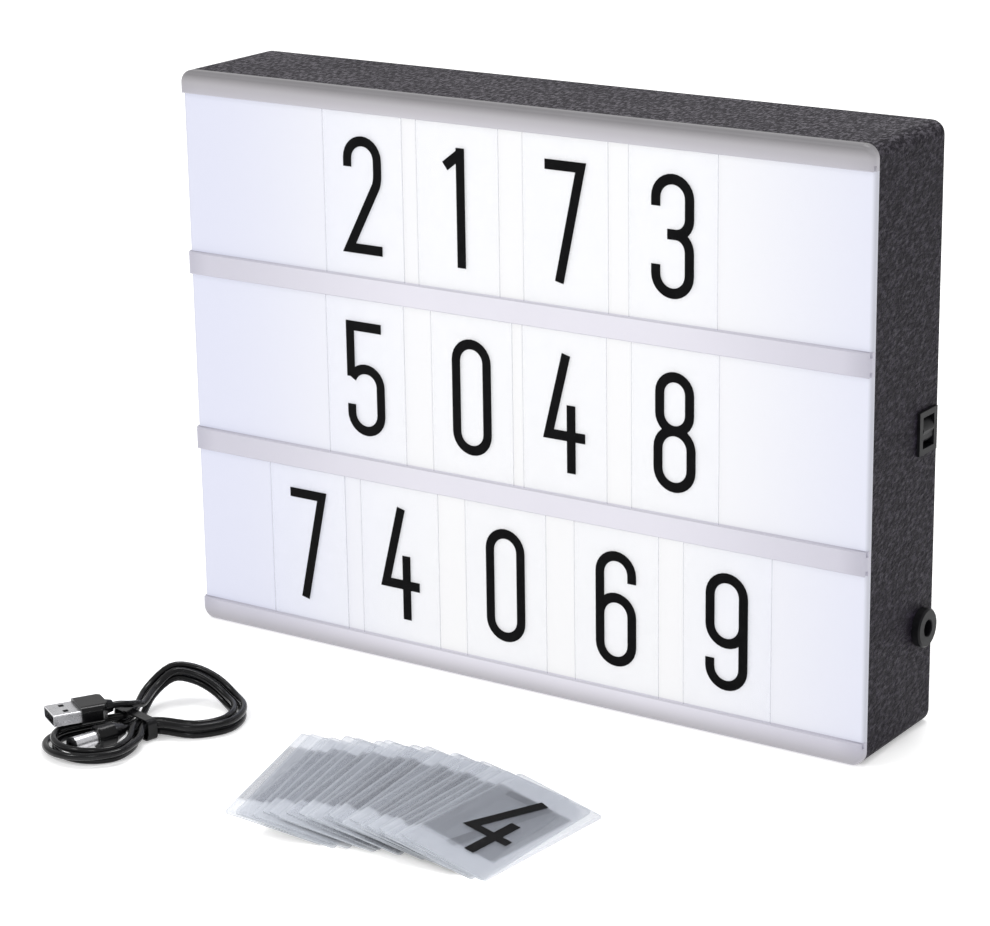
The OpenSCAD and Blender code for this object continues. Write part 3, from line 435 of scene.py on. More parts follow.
# %% Finishes of the cards and the ink
CUT_SEEN, FILM_SEEN = 0.34, 0.08


def card_film():
    material, tree, shader = finish("card film", Roughness=0.3, Specular_IOR_Level=0.4)
    cut = maths(tree, "SUBTRACT", 1.0, maths(tree, "ABSOLUTE", coordinate(tree, "Y", "Normal")), clamp=True)
    film = maths(tree, "ADD", maths(tree, "MULTIPLY", smudge(tree, 12.0)["Smudge"], 0.03), FILM_SEEN)
    seen = maths(tree, "ADD", maths(tree, "MULTIPLY", cut, CUT_SEEN), film)
    tree.links.new(seen, shader.inputs["Alpha"])
    tree.links.new(mixed(tree, cut, (0.86, 0.88, 0.94), (0.34, 0.35, 0.42)), shader.inputs["Base Color"])
    return material


def black_ink():
    material, tree, shader = finish("black ink", Specular_IOR_Level=0.05)
    hands = smudge(tree, 4.0)["Smudge"]
    colour = mixed(tree, hands, (0.0018, 0.0018, 0.0022), (0.0045, 0.0045, 0.005))
    tree.links.new(colour, shader.inputs["Base Color"])
    tree.links.new(spread(tree, hands, 0.42, 0.55), shader.inputs["Roughness"])
    return material


CARD, INK = card_film(), black_ink()
print("card finishes:", CARD.name, "and", INK.name)

# %% [markdown]
# ## The film of the spare cards
# The spare cards are the same film, but they lie in a pile and read as frosted grey.
# One flat grey would look like a sheet of paper, so the film has a lighter margin, a
# darker zone where the figure is printed, fine streaks, and a painted highlight along
# both long edges. Each card has a tone of its own, which the fan stores on it. Only the
# upper face is seen, half clear, so the card below shows through it once.

# %% The spare cards' finish
STREAKS = (9.0, 2.5, 40.0)
TONE_SHARE, STREAK_SHARE = 0.55, 0.45
MARGIN_SEEN, PRINT_SEEN, RIM_HIGHLIGHT_SEEN, SIDE_SEEN = 0.38, 0.12, 0.10, 0.6


def printed_zone(tree):
    """1 where a card carries its figure, 0 in its clear margins; read from the card's UV."""
    off = maths(tree, "ABSOLUTE", maths(tree, "SUBTRACT", coordinate(tree, "Y", "UV"), 0.5))
    along = between(tree, off, 0.34, 0.32)
    across = between(tree, coordinate(tree, "X", "UV"), 0.87, 0.84)
    return maths(tree, "MULTIPLY", along, across)


def film_shade(tree):
    """Light and dark of one card: its own tone, and streaks that run along it."""
    tone = node(tree, "ShaderNodeAttribute", attribute_name="tone").outputs["Fac"]
    parts = (coordinate(tree, "X", "UV"), coordinate(tree, "Y", "UV"), tone)
    scaled = [maths(tree, "MULTIPLY", part, by) for part, by in zip(parts, STREAKS)]
    lined = node(tree, "ShaderNodeCombineXYZ", dict(enumerate(scaled)))
    streak = node(tree, "ShaderNodeTexNoise", {"Vector": lined.outputs[0], "Scale": 1.0, "Detail": 3.0})
    return maths(tree, "ADD", maths(tree, "MULTIPLY", tone, TONE_SHARE),
                 maths(tree, "MULTIPLY", streak.outputs["Fac"], STREAK_SHARE))


def frosted_film():
    material, tree, shader = finish("frosted film", Roughness=0.34, Specular_IOR_Level=0.45)
    up = coordinate(tree, "Z", "Normal")
    side = maths(tree, "SUBTRACT", 1.0, maths(tree, "ABSOLUTE", up), clamp=True)
    aside = maths(tree, "ABSOLUTE", maths(tree, "SUBTRACT", coordinate(tree, "X", "UV"), 0.5))
    rim_highlight, zone, shade = between(tree, aside, 0.470, 0.485), printed_zone(tree), film_shade(tree)
    clear = mixed(tree, shade, (0.31, 0.335, 0.39), (0.66, 0.69, 0.75))
    inked = mixed(tree, shade, (0.08, 0.085, 0.105), (0.34, 0.365, 0.415))
    face = mixed(tree, zone, clear, inked)
    # Painted highlight: a bright line along both long edges.
    face = mixed(tree, maths(tree, "MULTIPLY", rim_highlight, 0.22), face, (0.72, 0.75, 0.79))
    tree.links.new(mixed(tree, side, face, (0.46, 0.49, 0.53)), shader.inputs["Base Color"])
    see = maths(tree, "ADD", MARGIN_SEEN, maths(tree, "MULTIPLY", zone, PRINT_SEEN))
    # The painted highlight along the edges is a little less clear than the film.
    see = maths(tree, "ADD", see, maths(tree, "MULTIPLY", rim_highlight, RIM_HIGHLIGHT_SEEN))
    upper = maths(tree, "MULTIPLY", see, maths(tree, "MAXIMUM", up, 0.0))
    seen = maths(tree, "ADD", upper, maths(tree, "MULTIPLY", side, SIDE_SEEN), clamp=True)
    tree.links.new(seen, shader.inputs["Alpha"])
    return material


SPARE = frosted_film()
print("spare finish:", SPARE.name)

# %% [markdown]
# ## Black fittings, cable, metal and wires
# The switch and the socket are smooth black plastic, the cable's jacket is glossy
# and soft, and the plugs and springs are plated metal. Each gets a little unevenness
# in its roughness, since even new parts aren't uniform.

# %% Finishes of the fittings


def smooth_plastic(name, colour, roughness, patch=8.0, specular=0.5):
    material, tree, shader = finish(name, Specular_IOR_Level=specular)
    hands, worn = smudge(tree, patch)["Smudge"], tuple(min(1, c * 1.25 + 0.004) for c in colour)
    tree.links.new(mixed(tree, hands, colour, worn), shader.inputs["Base Color"])
    tree.links.new(spread(tree, hands, roughness, roughness + 0.12), shader.inputs["Roughness"])
    raise_bumps(tree, shader, grain(tree, 0.35, 0.5)["Height"], 0.008)
    return material


def plated_metal(name, colour, roughness):
    material, tree, shader = finish(name, Metallic=1.0)
    place = node(tree, "ShaderNodeTexCoord").outputs["Object"]
    brushed = node(tree, "ShaderNodeTexNoise", {"Vector": place, "Scale": 1400.0, "Detail": 3.0})
    hands, worn = smudge(tree, 3.0)["Smudge"], tuple(c * 0.8 for c in colour)
    tree.links.new(mixed(tree, hands, colour, worn), shader.inputs["Base Color"])
    rough = spread(tree, brushed.outputs["Fac"], roughness, roughness + 0.18)
    tree.links.new(rough, shader.inputs["Roughness"])
    return material


def glowing_lens():
    material, tree, shader = finish("light lens", Roughness=0.2, Emission_Strength=1.2)
    hands = smudge(tree, 2.0)["Smudge"]
    for label, low, high in (("Base Color", (1.0, 0.86, 0.45), (1.0, 0.93, 0.62)),
                             ("Emission Color", (1.0, 0.95, 0.82), (1.0, 0.98, 0.9))):
        tree.links.new(mixed(tree, hands, low, high), shader.inputs[label])
    return material


FITTING = smooth_plastic("fitting black", (0.004, 0.004, 0.005), 0.36, specular=0.13)
BAY = smooth_plastic("bay black", (0.020, 0.020, 0.022), 0.50, 20.0)
CABLE = smooth_plastic("cable jacket", (0.0025, 0.0025, 0.003), 0.13, 10.0, 0.22)
REFLECTOR = smooth_plastic("reflector film", (0.80, 0.80, 0.80), 0.35, 40.0)
BOARD = smooth_plastic("board white", (0.74, 0.76, 0.74), 0.40, 15.0)
RED = smooth_plastic("wire red", (0.45, 0.02, 0.02), 0.35)
BLACK = smooth_plastic("wire black", (0.015,) * 3, 0.35)
STEEL = plated_metal("plated steel", (0.66, 0.66, 0.68), 0.20)
TINNED = plated_metal("tinned brass", (0.72, 0.67, 0.55), 0.28)
LENS = glowing_lens()
print("finishes so far:", len(bpy.data.materials))

# %% Dress the CAD pieces
WORN_BY = {
    "case": CASE, "battery_door": DOOR, "lid": PANEL, "rail_top": RAIL, "rail_upper": RAIL,
    "rail_lower": RAIL, "rail_bottom": RAIL, "reflector": REFLECTOR, "light_boards": BOARD,
    "lights": LENS, "battery_bay": BAY, "battery_contacts": STEEL, "battery_springs": STEEL,
    "lid_screws": STEEL, "switch_body": FITTING, "switch_rocker": FITTING, "switch_terminals": TINNED,
    "jack_socket": FITTING, "jack_pin": TINNED, "jack_nut": STEEL, "jack_lugs": TINNED,
    "wires_red": RED, "wires_black": BLACK, "cable_tie": CABLE, "dc_plug_grip": CABLE,
    "dc_plug_barrel": STEEL, "dc_plug_collar": FITTING, "usb_plug_grip": CABLE,
    "usb_plug_shell": STEEL, "usb_plug_tongue": FITTING,
}


def dress_frame():
    for name, piece in NODES.items():
        piece.data.materials.clear()
        piece.data.materials.append(WORN_BY.get(name, CARD))
    return len(NODES)


print("dressed", dress_frame(), "CAD nodes")

# %% [markdown]
# ## The cable
# The cable is wound in two layers of long loops, spiralling out and back in, and
# pinched at the waist by its tie. Its route is worked out here from the same few
# numbers as the CAD solid: an inmost loop of two round lobes, moved outwards by one
# strand for each turn. A node tree then sweeps a round section along the route. A
# rope simulation could lay the loops too, but a formula gives the same hank each
# time and the same one as the solid.

# %% The cable's sizes and its inmost loop
CORD = 2.6
LOOPS = 2
STEP, LAYER = CORD + 1.0, CORD + 0.8
WAIST, TIE_LIFT, LOBE_LIFT = 1.0, 0.9, 9.0
FAR_RUN, FAR_END, FAR_R = 23.0, 14.0, 16.0
NEAR_RUN, NEAR_END, NEAR_R = 21.0, 9.0, 11.0
HANK_AT, HANK_TURN, HANK_BEND, BEND_HALF = Vector((-92, -138, 0)), 68.0, 15.0, 12.0
NEAR_ROUND, AT_WAIST, FAR_ROUND, UNWOUND = 0.13, 0.25, 0.36, 0.31
NEAR_SHARE, FAR_SHARE, END_SHARE = 0.12, 0.11, 0.14
CLIMB_LEAD, CLIMB_RUN = 0.22, 0.4
TIE_REACH, TIE_FADE = 1.6, 8
LOBE_FROM, LOBE_RUN_X, LOBE_RUN_Y = 4, 22, 26
RINGS, PEEK = 24, 0.004
BARREL_LEAD = [(-8.5, -3, 4.75), (-6.4, -2.7, 4.5), (-3.4, -2.1, 3.2)]
FLAT_LEAD = [(8, 7, 7.8), (4, 5, 9.1), (0, 4.6, 10.1), (-3, 5.6, 10.7), (-5.5, 6.5, 10.7)]


def smooth(f):
    """0 to 1 for f from 0 to 1, with a soft start and end."""
    g = max(0.0, min(1.0, f))
    return g * g * (3 - 2 * g)


def loop_point(t):
    """A point of the inmost loop; t counts loops and begins at the middle of the near end."""
    f = t - math.floor(t)
    side = -1 if f < 0.5 else 1
    g = f if f < 0.5 else 1 - f
    if g < NEAR_ROUND:
        a = math.radians(90 * g / NEAR_ROUND)
        return Vector((-NEAR_RUN - NEAR_END * math.cos(a), side * NEAR_R * math.sin(a)))
    if g < AT_WAIST:
        u = NEAR_RUN * (AT_WAIST - g) / NEAR_SHARE
        return Vector((-u, side * (WAIST + (NEAR_R - WAIST) * (1 - math.cos(math.pi * u / NEAR_RUN)) / 2)))
    if g < FAR_ROUND:
        u = FAR_RUN * (g - AT_WAIST) / FAR_SHARE
        return Vector((u, side * (WAIST + (FAR_R - WAIST) * (1 - math.cos(math.pi * u / FAR_RUN)) / 2)))
    a = math.radians(90 * (g - FAR_ROUND) / END_SHARE)
    return Vector((FAR_RUN + FAR_END * math.sin(a), side * FAR_R * math.cos(a)))


def bent(p):
    """A point of the straight hank, moved to where it lies once the hank is bent at its waist."""
    k = math.radians(HANK_BEND) / (2 * BEND_HALF)
    s = max(0.0, min(2 * BEND_HALF, BEND_HALF - p[0]))
    rest = BEND_HALF - p[0] - s
    if p[0] > BEND_HALF:
        return p[0], p[1]
    sin, cos = math.sin(k * s), math.cos(k * s)
    return BEND_HALF - sin / k - rest * cos - p[1] * sin, -(1 - cos) / k - rest * sin + p[1] * cos


print("inmost loop:", 2 * NEAR_R, "and", 2 * FAR_R, "mm across its lobes")

# %% Work out the cable's route


def strand(t):
    """The cable's middle after t loops: out for LOOPS loops, then back in, one layer up."""
    off = STEP * (t if t < LOOPS else 2 * LOOPS - t)
    way = (loop_point(t + PEEK) - loop_point(t - PEEK)).normalized()
    p = loop_point(t) + off * Vector((way[1], -way[0]))
    climbed = smooth((t - LOOPS + CLIMB_LEAD) / CLIMB_RUN)
    z = CORD / 2 + LAYER * climbed + TIE_LIFT * smooth(TIE_REACH - abs(p[0]) / TIE_FADE)
    z += LOBE_LIFT * smooth((p[0] - LOBE_FROM) / LOBE_RUN_X) * smooth((p[1] + LOBE_FROM) / LOBE_RUN_Y)
    return Vector((*bent(p), z))


def cable_route():
    first, last = AT_WAIST, 2 * LOOPS - UNWOUND
    turns = int((last - first) * RINGS)
    knots = [Vector((*bent(p), p[2])) for p in BARREL_LEAD]
    knots += [strand(first + i / RINGS) for i in range(turns + 1)]
    knots += [Vector((*bent(p), p[2])) for p in FLAT_LEAD]
    placed = Matrix.Translation(HANK_AT) @ Matrix.Rotation(math.radians(HANK_TURN), 4, "Z")
    knots = [placed @ k for k in knots]
    route = []
    for i in range(len(knots) - 1):
        a, b = knots[max(i - 1, 0)], knots[i]
        c, d = knots[i + 1], knots[min(i + 2, len(knots) - 1)]
        for s in (0, 0.25, 0.5, 0.75):
            route.append(0.5 * ((2 * b) + (c - a) * s + (2 * a - 5 * b + 4 * c - d) * s * s
                                + (3 * b - a - 3 * c + d) * s ** 3))
    return [p * MM for p in route + [knots[-1]]]


ROUTE = cable_route()

# %% [markdown]
# A sweep is one of the things that Geometry Nodes do best. The route comes in as a
# chain of edges, becomes a curve, and Curve to Mesh draws a circle along it. Keeping
# the section's diameter as a named input makes a thicker cable a matter of one value.

# %% Sweep the cable


def modifier_inputs(piece, tree, values):
    modifier = piece.modifiers.new(tree.name, "NODES")
    modifier.node_group = tree
    sockets = {s.name: s.identifier for s in tree.interface.items_tree
               if s.item_type == "SOCKET" and s.in_out == "INPUT"}
    for label, value in values.items():
        modifier[sockets[label]] = value
    return modifier


def sweep_tree():
    tree = bpy.data.node_groups.new("sweep a cable", "GeometryNodeTree")
    face = tree.interface
    face.new_socket("Route", in_out="INPUT", socket_type="NodeSocketGeometry")
    for label, kind, value in (("Diameter", "NodeSocketFloat", 0.0026), ("Sides", "NodeSocketInt", 16)):
        face.new_socket(label, in_out="INPUT", socket_type=kind).default_value = value
    face.new_socket("Jacket", in_out="INPUT", socket_type="NodeSocketMaterial")
    face.new_socket("Cable", in_out="OUTPUT", socket_type="NodeSocketGeometry")
    given, result = tree.nodes.new("NodeGroupInput"), tree.nodes.new("NodeGroupOutput")
    line = node(tree, "GeometryNodeMeshToCurve", {"Mesh": given.outputs["Route"]})
    ring = node(tree, "GeometryNodeCurvePrimitiveCircle",
                {"Resolution": given.outputs["Sides"],
                 "Radius": maths(tree, "MULTIPLY", given.outputs["Diameter"], 0.5)})
    tube = node(tree, "GeometryNodeCurveToMesh",
                {"Curve": line.outputs[0], "Profile Curve": ring.outputs[0], "Fill Caps": True})
    round_ = node(tree, "GeometryNodeSetShadeSmooth", {"Geometry": tube.outputs[0]})
    dressed = node(tree, "GeometryNodeSetMaterial",
                   {"Geometry": round_.outputs[0], "Material": given.outputs["Jacket"]})
    tree.links.new(dressed.outputs[0], result.inputs["Cable"])
    return tree


def cable():
    chain = bpy.data.meshes.new("route")
    chain.from_pydata([tuple(p) for p in ROUTE], [(i, i + 1) for i in range(len(ROUTE) - 1)], [])
    piece = bpy.data.objects.new("route", chain)
    bpy.context.scene.collection.objects.link(piece)
    modifier_inputs(piece, sweep_tree(), {"Diameter": CORD * MM, "Sides": 16, "Jacket": CABLE})
    return applied(piece, "cable")


cable_piece = cable()
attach(cable_piece, "box")
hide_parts("cable_hank")
print("cable faces:", len(cable_piece.data.polygons))

# %% [markdown]
# ## The printed characters
# Each card carries one tall, narrow figure printed in black. A figure is drawn as a
# pen would: a few lines and arcs with one even width. `ribbon` gives such a line its
# width, with mitred corners, and `figure_plate` a hair of thickness, so the ink lies
# on the card. A font would be quicker, but few fonts are as tall and narrow as this.

# %% Draw the figures
PEN, HALF_W, HALF_H = 3.8, 6.9, 20.6


def arc(cx, cy, rx, ry, start, end, steps=14):
    return [(cx + rx * math.cos(math.radians(start + (end - start) * i / steps)),
             cy + ry * math.sin(math.radians(start + (end - start) * i / steps))) for i in range(steps + 1)]


def bowl(top, bottom, w=HALF_W):
    return arc(0, top - w, w, w, 0, 180) + arc(0, bottom + w, w, w, 180, 360) + [(w, top - w)]


def figure(d):
    w, h = HALF_W, HALF_H
    over = arc(0, h - w, w, w, 180, 0)
    under = arc(0, -h + w, w, w, 0, -180)
    hook = [(-w, 10.5)] + over
    if d == 0:
        return [bowl(h, -h)]
    if d == 1:
        return [[(1.6, h + 1.9), (1.6, -h - 1.9)], [(-5.2, 15.2), (1.6, 20.4)]]
    if d == 2:
        return [hook + [(w, 8.5)] + arc(w - 14, 8.5, 14, 14, 0, -18, 3)[1:] + [(-w, -h), (w + 1.6, -h)]]
    if d == 3:
        upper = hook + arc(1.4, 6.6, w - 1.4, 5.8, 0, -90, 8) + [(-2.2, 0.8)]
        lower = [(-2.2, 0.8), (1.4, 0.8)] + arc(1.4, -5.4, w - 1.4, 6.2, 90, 0, 8) + under + [(-w, -10.5)]
        return [upper, lower]
    if d == 4:
        return [[(1.0, h + 1.9), (-w, -8.4), (w + 2.2, -8.4)], [(3.0, 3.5), (3.0, -h - 1.9)]]
    if d == 5:
        return [[(w + 0.8, h), (-w, h), (-w, 0.4)],
                arc(0, -2.6, w, 6.6, 158, 0, 12) + under + [(-w, -10.5)]]
    if d == 6:
        return [bowl(4.4, -h), [(-w, -h + w)] + over + [(w, 10.8)]]
    if d == 7:
        return [[(-w - 1.6, h), (w, h), (-2.6, -h - 1.9)]]
    if d == 8:
        return [bowl(h, 0.6, w - 0.7), bowl(0.6, -h)]
    return [[(-x, -y) for x, y in line] for line in figure(6)]


print("pen strokes in each figure:", [len(figure(d)) for d in range(10)])

# %% Give the strokes a width and a thickness
SAME_POINT, MITRE_LEAST = 1e-6, 0.4
INK_THICK, STROKE_STEP = 0.06, 0.004


def ribbon(line, width):
    left, right, closed = [], [], line[0] == line[-1]
    points = [Vector(p) for i, p in enumerate(line)
              if i == 0 or (Vector(p) - Vector(line[i - 1])).length > SAME_POINT]
    for i, p in enumerate(points):
        before = points[i - 1] if i else (points[-2] if closed else None)
        after = points[i + 1] if i < len(points) - 1 else (points[1] if closed else None)
        a = (p - before).normalized() if before else (after - p).normalized()
        b = (after - p).normalized() if after else a
        way = (a + b).normalized()
        reach = width / 2 / max(MITRE_LEAST, way.dot(a))
        side = Vector((-way[1], way[0])) * reach
        left.append(p + side)
        right.append(p - side)
    return left, right


def figure_plate(d, place, thick=INK_THICK):
    """Points and faces of a figure; place(x, y, depth) puts a drawn point in the world."""
    points, faces = [], []
    for k, line in enumerate(figure(d)):
        thick += STROKE_STEP * k
        left, right = ribbon(line, PEN)
        n, start = len(left), len(points)
        for depth in (0.0, thick):
            points += [place(p[0], p[1], depth) for p in left + right]
        back, front = start, start + 2 * n
        for i in range(n - 1):
            l0, l1, r0, r1 = i, i + 1, n + i, n + i + 1
            faces += [(front + l0, front + r0, front + r1, front + l1),
                      (back + l0, back + l1, back + r1, back + r0),
                      (back + l0, front + l0, front + l1, back + l1),
                      (back + r0, back + r1, front + r1, front + r0)]
        for i, turn in ((0, 1), (n - 1, -1)):
            ring = (back + i, back + n + i, front + n + i, front + i)
            faces.append(ring[::turn])
    return points, faces


print("ink:", PEN, "mm wide and", INK_THICK, "mm thick")

# %% Print the message
MESSAGE = {"card_top_1": 2, "card_top_2": 1, "card_top_3": 7, "card_top_4": 3,
           "card_mid_1": 5, "card_mid_2": 0, "card_mid_3": 4, "card_mid_4": 8,
           "card_low_1": 7, "card_low_2": 4, "card_low_3": 0, "card_low_4": 6, "card_low_5": 9}


def print_card(card, d):
    low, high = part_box(card)
    cx, cz, face = (low.x + high.x) / 2, (low.z + high.z) / 2, low.y
    points, faces = figure_plate(d, lambda x, y, depth: (cx + x * MM, face - depth * MM, cz + y * MM))
    piece = mesh_piece("figure_" + card, points, faces, INK)
    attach(piece, card + "_body")
    return piece


figures = [print_card(card, d) for card, d in MESSAGE.items()]
print("printed cards:", len(figures))

# %% [markdown]
# ## The fan of spare cards
# The spare cards lie shingled in a fan, each a little further along and turned a
# little more than the one below it. A node tree places them by their number, from
# named inputs: the fan's length, rise and bulge, the cards' tilt, their first and
# last turn, and how much a card is turned (unrest) and shifted (slip) out of line.
# The tree also gives each card a tone for its film, from a fixed seed. One card is
# modelled, with rounded corners, and every place in the fan gets an instance of it.

# %% Model one spare card
SPARES, FAN_LENGTH, FAN_GAP = 24, 74.0, 0.15
FAN_FROM, FAN_RISE, FAN_BULGE = (3.0, -156.0), 8.0, 8.0
FAN_TURN_FROM, FAN_TURN_TO = 14.0, -2.0
FAN_UNREST, FAN_SLIP = 1.6, 1.5
UNREST_STEP, SLIP_STEP, SLIP_FROM, TONE_SEED = 137, 97, 40, 5
CARD_THICK, CARD_CORNER = 0.5, 1.5
CARD_SIZE = Vector((NODES["card_top_1"].dimensions.x, NODES["card_top_1"].dimensions.z, CARD_THICK * MM)) / MM
FAN_TILT = math.asin((CARD_SIZE.z + FAN_GAP) / (FAN_LENGTH / (SPARES - 1)))
TURN_MOST = math.radians(FAN_TURN_FROM + FAN_UNREST)
# The middle of a tilted card lies this high, so that its lowest corner just clears the floor.
FAN_Z = (CARD_SIZE.x / 2 * math.cos(TURN_MOST) + (CARD_SIZE.y / 2 + FAN_SLIP) * math.sin(TURN_MOST)) \
    * math.sin(FAN_TILT) + CARD_SIZE.z / 2 * math.cos(FAN_TILT)


def blank_card():
    corners, r = [], CARD_CORNER
    w, h = CARD_SIZE.x / 2 - r, CARD_SIZE.y / 2 - r
    for cx, cy, start in ((w, h, 0), (-w, h, 90), (-w, -h, 180), (w, -h, 270)):
        corners += arc(cx, cy, r, r, start, start + 90, 4)
    n, half = len(corners), CARD_SIZE.z / 2
    points = [(x * MM, y * MM, z * MM) for z in (-half, half) for x, y in corners]
    faces = [tuple(range(n - 1, -1, -1)), tuple(range(n, 2 * n))]
    faces += [(i, (i + 1) % n, n + (i + 1) % n, n + i) for i in range(n)]
    card = mesh_piece("blank card", points, faces, SPARE)
    flat = card.data.uv_layers.new(name="card")
    for loop in card.data.loops:
        x, y, _ = card.data.vertices[loop.vertex_index].co / MM
        flat.data[loop.index].uv = (x / CARD_SIZE.x + 0.5, y / CARD_SIZE.y + 0.5)
    return card


print("spare card:", [round(v, 2) for v in CARD_SIZE], "mm, tilt", round(math.degrees(FAN_TILT), 1))

# %% Lay out the fan
FAN_INPUTS = [("Seed mesh", "Geometry"), ("Card", "Object"), ("Count", "Int"), ("Length", "Float"),
              ("Rise", "Float"), ("Bulge", "Float"), ("Tilt", "Float"), ("Turn from", "Float"),
              ("Turn to", "Float"), ("Unrest", "Float"), ("Slip", "Float"), ("First place", "Vector"),
              ("Tone seed", "Int"), ("Film", "Material")]


def unrest(tree, ask, number, share, copies):
    """Turns each card to its place in the fan and a little out of line, and shifts it along itself."""
    change = maths(tree, "SUBTRACT", ask["Turn to"], ask["Turn from"])
    even = maths(tree, "ADD", ask["Turn from"], maths(tree, "MULTIPLY", share, change))
    wobble = maths(tree, "SINE", maths(tree, "MULTIPLY", number, math.radians(UNREST_STEP)))
    turn = maths(tree, "ADD", even, maths(tree, "MULTIPLY", wobble, ask["Unrest"]))
    turned = node(tree, "GeometryNodeRotateInstances",
                  {"Instances": copies.outputs[0],
                   "Rotation": node(tree, "ShaderNodeCombineXYZ", {"Z": turn}).outputs[0]})
    phase = maths(tree, "MULTIPLY_ADD", number, math.radians(SLIP_STEP))
    phase.node.inputs[2].default_value = math.radians(SLIP_FROM)
    slip = maths(tree, "MULTIPLY", maths(tree, "SINE", phase), ask["Slip"])
    return node(tree, "GeometryNodeTranslateInstances",
                {"Instances": turned.outputs[0],
                 "Translation": node(tree, "ShaderNodeCombineXYZ", {"Y": slip}).outputs[0]})


def fan_tree():
    tree = bpy.data.node_groups.new("fan of cards", "GeometryNodeTree")
    for label, kind in FAN_INPUTS:
        tree.interface.new_socket(label, in_out="INPUT", socket_type="NodeSocket" + kind)
    tree.interface.new_socket("Fan", in_out="OUTPUT", socket_type="NodeSocketGeometry")
    ask, result = tree.nodes.new("NodeGroupInput").outputs, tree.nodes.new("NodeGroupOutput")
    places = node(tree, "GeometryNodeMeshLine", {"Count": ask["Count"]})
    number = node(tree, "GeometryNodeInputIndex").outputs[0]
    share = maths(tree, "DIVIDE", number, maths(tree, "SUBTRACT", ask["Count"], 1.0))
    hump = maths(tree, "MULTIPLY", maths(tree, "SINE", maths(tree, "MULTIPLY", share, math.pi)), ask["Bulge"])
    along = maths(tree, "MULTIPLY", share, ask["Length"])
    across = maths(tree, "ADD", maths(tree, "MULTIPLY", share, ask["Rise"]), hump)
    offset = node(tree, "ShaderNodeCombineXYZ", {"X": along, "Y": across})
    spot = node(tree, "ShaderNodeVectorMath", {0: offset.outputs[0], 1: ask["First place"]}, operation="ADD")
    placed = node(tree, "GeometryNodeSetPosition",
                  {"Geometry": places.outputs[0], "Position": spot.outputs[0]})
    shape = node(tree, "GeometryNodeObjectInfo", {"Object": ask["Card"]})
    lean = node(tree, "ShaderNodeCombineXYZ", {"Y": ask["Tilt"]})
    copies = node(tree, "GeometryNodeInstanceOnPoints",
                  {"Points": placed.outputs[0], "Instance": shape.outputs["Geometry"],
                   "Rotation": lean.outputs[0]})
    moved = unrest(tree, ask, number, share, copies)
    tone = node(tree, "FunctionNodeRandomValue", {"Seed": ask["Tone seed"]}, data_type="FLOAT")
    toned = node(tree, "GeometryNodeStoreNamedAttribute",
                 {"Geometry": moved.outputs[0], "Name": "tone", "Value": tone.outputs[1]},
                 data_type="FLOAT", domain="INSTANCE")
    real = node(tree, "GeometryNodeRealizeInstances", {"Geometry": toned.outputs[0]})
    dressed = node(tree, "GeometryNodeSetMaterial", {"Geometry": real.outputs[0], "Material": ask["Film"]})
    tree.links.new(dressed.outputs[0], result.inputs["Fan"])
    return tree


def spare_fan():
    card = blank_card()
    seed = mesh_piece("seed", [(0, 0, 0)], [])
    modifier_inputs(seed, fan_tree(), {
        "Card": card, "Count": SPARES, "Length": FAN_LENGTH * MM, "Rise": FAN_RISE * MM,
        "Bulge": FAN_BULGE * MM, "Tilt": FAN_TILT, "Turn from": math.radians(FAN_TURN_FROM),
        "Turn to": math.radians(FAN_TURN_TO), "Unrest": math.radians(FAN_UNREST), "Slip": FAN_SLIP * MM,
        "First place": (FAN_FROM[0] * MM, FAN_FROM[1] * MM, FAN_Z * MM), "Tone seed": TONE_SEED,
        "Film": SPARE})
    fan = applied(seed, "spare_cards")
    bpy.data.objects.remove(card)
    return fan


spare_cards = spare_fan()
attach(spare_cards, "box")
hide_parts("spare_card_fan")
print("fan faces:", len(spare_cards.data.polygons))

# %% [markdown]
# Every spare card is printed, like those of the message. The top one shows its figure
# in full. The others show theirs through the film above, and where they stick out of
# the pile. `fan_place` works out where the tree has laid a card, so that each figure
# can be laid on its own card.

# %% Print the spare cards
SPARE_FIGURES = {i: (7 * i + 3) % 10 for i in range(SPARES)}
SPARE_INK = 0.05


def fan_place(i):
    share = i / (SPARES - 1)
    at = Vector((FAN_FROM[0] + share * FAN_LENGTH,
                 FAN_FROM[1] + share * FAN_RISE + FAN_BULGE * math.sin(math.pi * share), FAN_Z))
    turn = math.radians(FAN_TURN_FROM + share * (FAN_TURN_TO - FAN_TURN_FROM)
                        + FAN_UNREST * math.sin(math.radians(UNREST_STEP * i)))
    slip = Matrix.Translation((0, FAN_SLIP * math.sin(math.radians(SLIP_STEP * i + SLIP_FROM)), 0))
    return (Matrix.Translation(at) @ Matrix.Rotation(FAN_TILT, 4, "Y")
            @ Matrix.Rotation(turn, 4, "Z") @ slip)


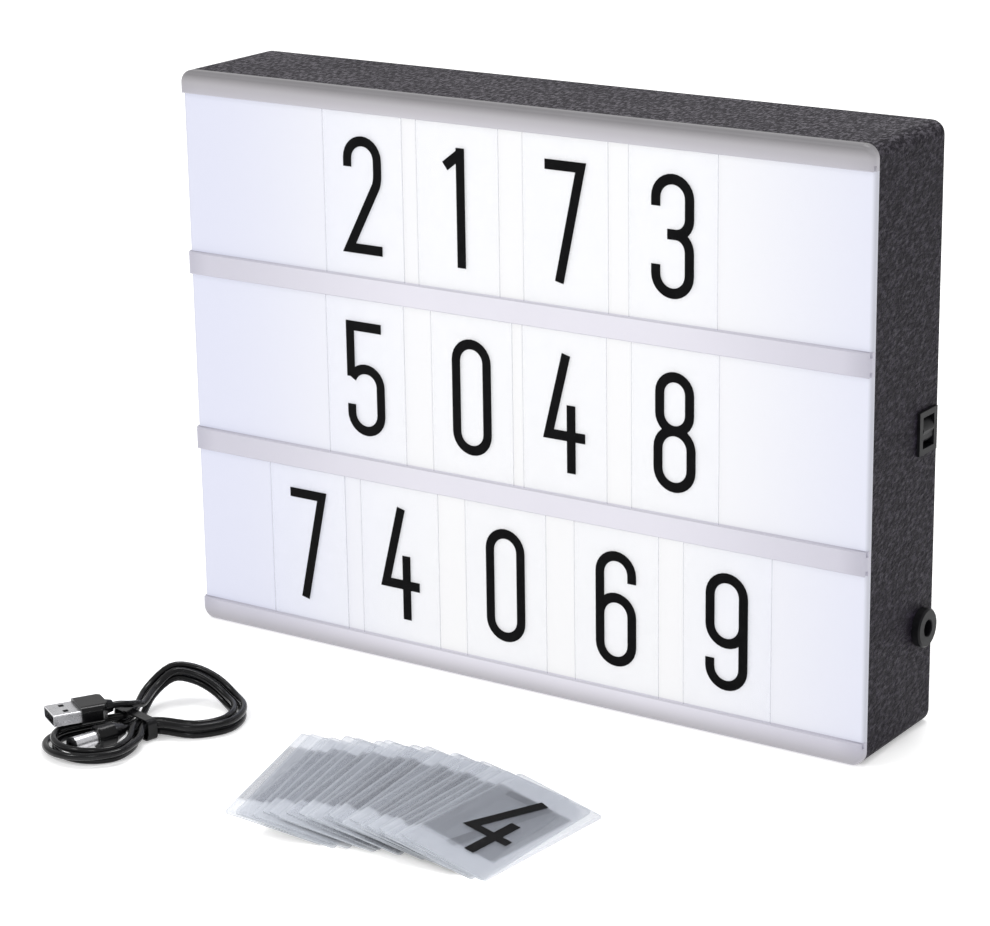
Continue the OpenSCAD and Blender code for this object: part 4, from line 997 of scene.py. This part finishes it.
def print_spares():
    points, faces = [], []
    for i, d in SPARE_FIGURES.items():
        where, start = fan_place(i), len(points)
        got, made = figure_plate(
            d, lambda x, y, depth: (where @ Vector((x, y, CARD_SIZE.z / 2 + depth))) * MM, SPARE_INK)
        points += got
        faces += [tuple(start + k for k in f) for f in made]
    return mesh_piece("spare_figures", points, faces, INK)


spare_figures = print_spares()
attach(spare_figures, "box")
print("spare figures:", len(SPARE_FIGURES))

# %% [markdown]
# ## Floor and light
# A product photograph like this one has a white sweep and light from all around. The
# world gives most of the light and the floor glows a little, so shadows stay faint.
# Three soft lights do the rest. The key light from the upper left and a second one
# from the right give the cable and the grain their highlights, and a large one above
# brightens the faces that look up.

# %% Floor, world and lights
FLOOR_HALF, FLOOR_GLOW, DAYLIGHT = 12.0, 0.32, 0.74
LIGHTS = {"key": ((-0.9, -1.2, 1.5), 0.3, 7), "second": ((0.5, -1.5, 1.3), 0.25, 4),
          "top": ((0.0, 0.6, 1.9), 0.8, 17)}
LIGHT_TARGET = (0, 0, 0.05)


def floor():
    material, tree, shader = finish("white floor", Roughness=0.8, Specular_IOR_Level=0.1,
                                    Emission_Strength=FLOOR_GLOW)
    shader.inputs["Emission Color"].default_value = (1, 1, 1, 1)
    colour = mixed(tree, smudge(tree, 400.0)["Smudge"], (0.93, 0.93, 0.93), (0.95, 0.95, 0.95))
    tree.links.new(colour, shader.inputs["Base Color"])
    s = FLOOR_HALF
    piece = mesh_piece("floor", [(-s, -s, 0), (s, -s, 0), (s, s, 0), (-s, s, 0)], [(0, 1, 2, 3)], material)
    return piece


def soft_light(name, at, size, power):
    data = bpy.data.lights.new(name, "AREA")
    data.shape, data.size, data.energy = "DISK", size, power
    lamp = bpy.data.objects.new(name, data)
    lamp.location = at
    lamp.rotation_euler = (Vector(LIGHT_TARGET) - Vector(at)).to_track_quat("-Z", "Y").to_euler()
    bpy.context.scene.collection.objects.link(lamp)


def daylight():
    world = bpy.data.worlds.new("studio")
    world.use_nodes = True
    sky = world.node_tree.nodes["Background"].inputs
    sky["Color"].default_value, sky["Strength"].default_value = (1, 1, 1, 1), DAYLIGHT
    bpy.context.scene.world = world
    bpy.context.scene.view_settings.view_transform = "Standard"


floor()
daylight()
for light, settings in LIGHTS.items():
    soft_light(light, *settings)
print("lights:", *LIGHTS)
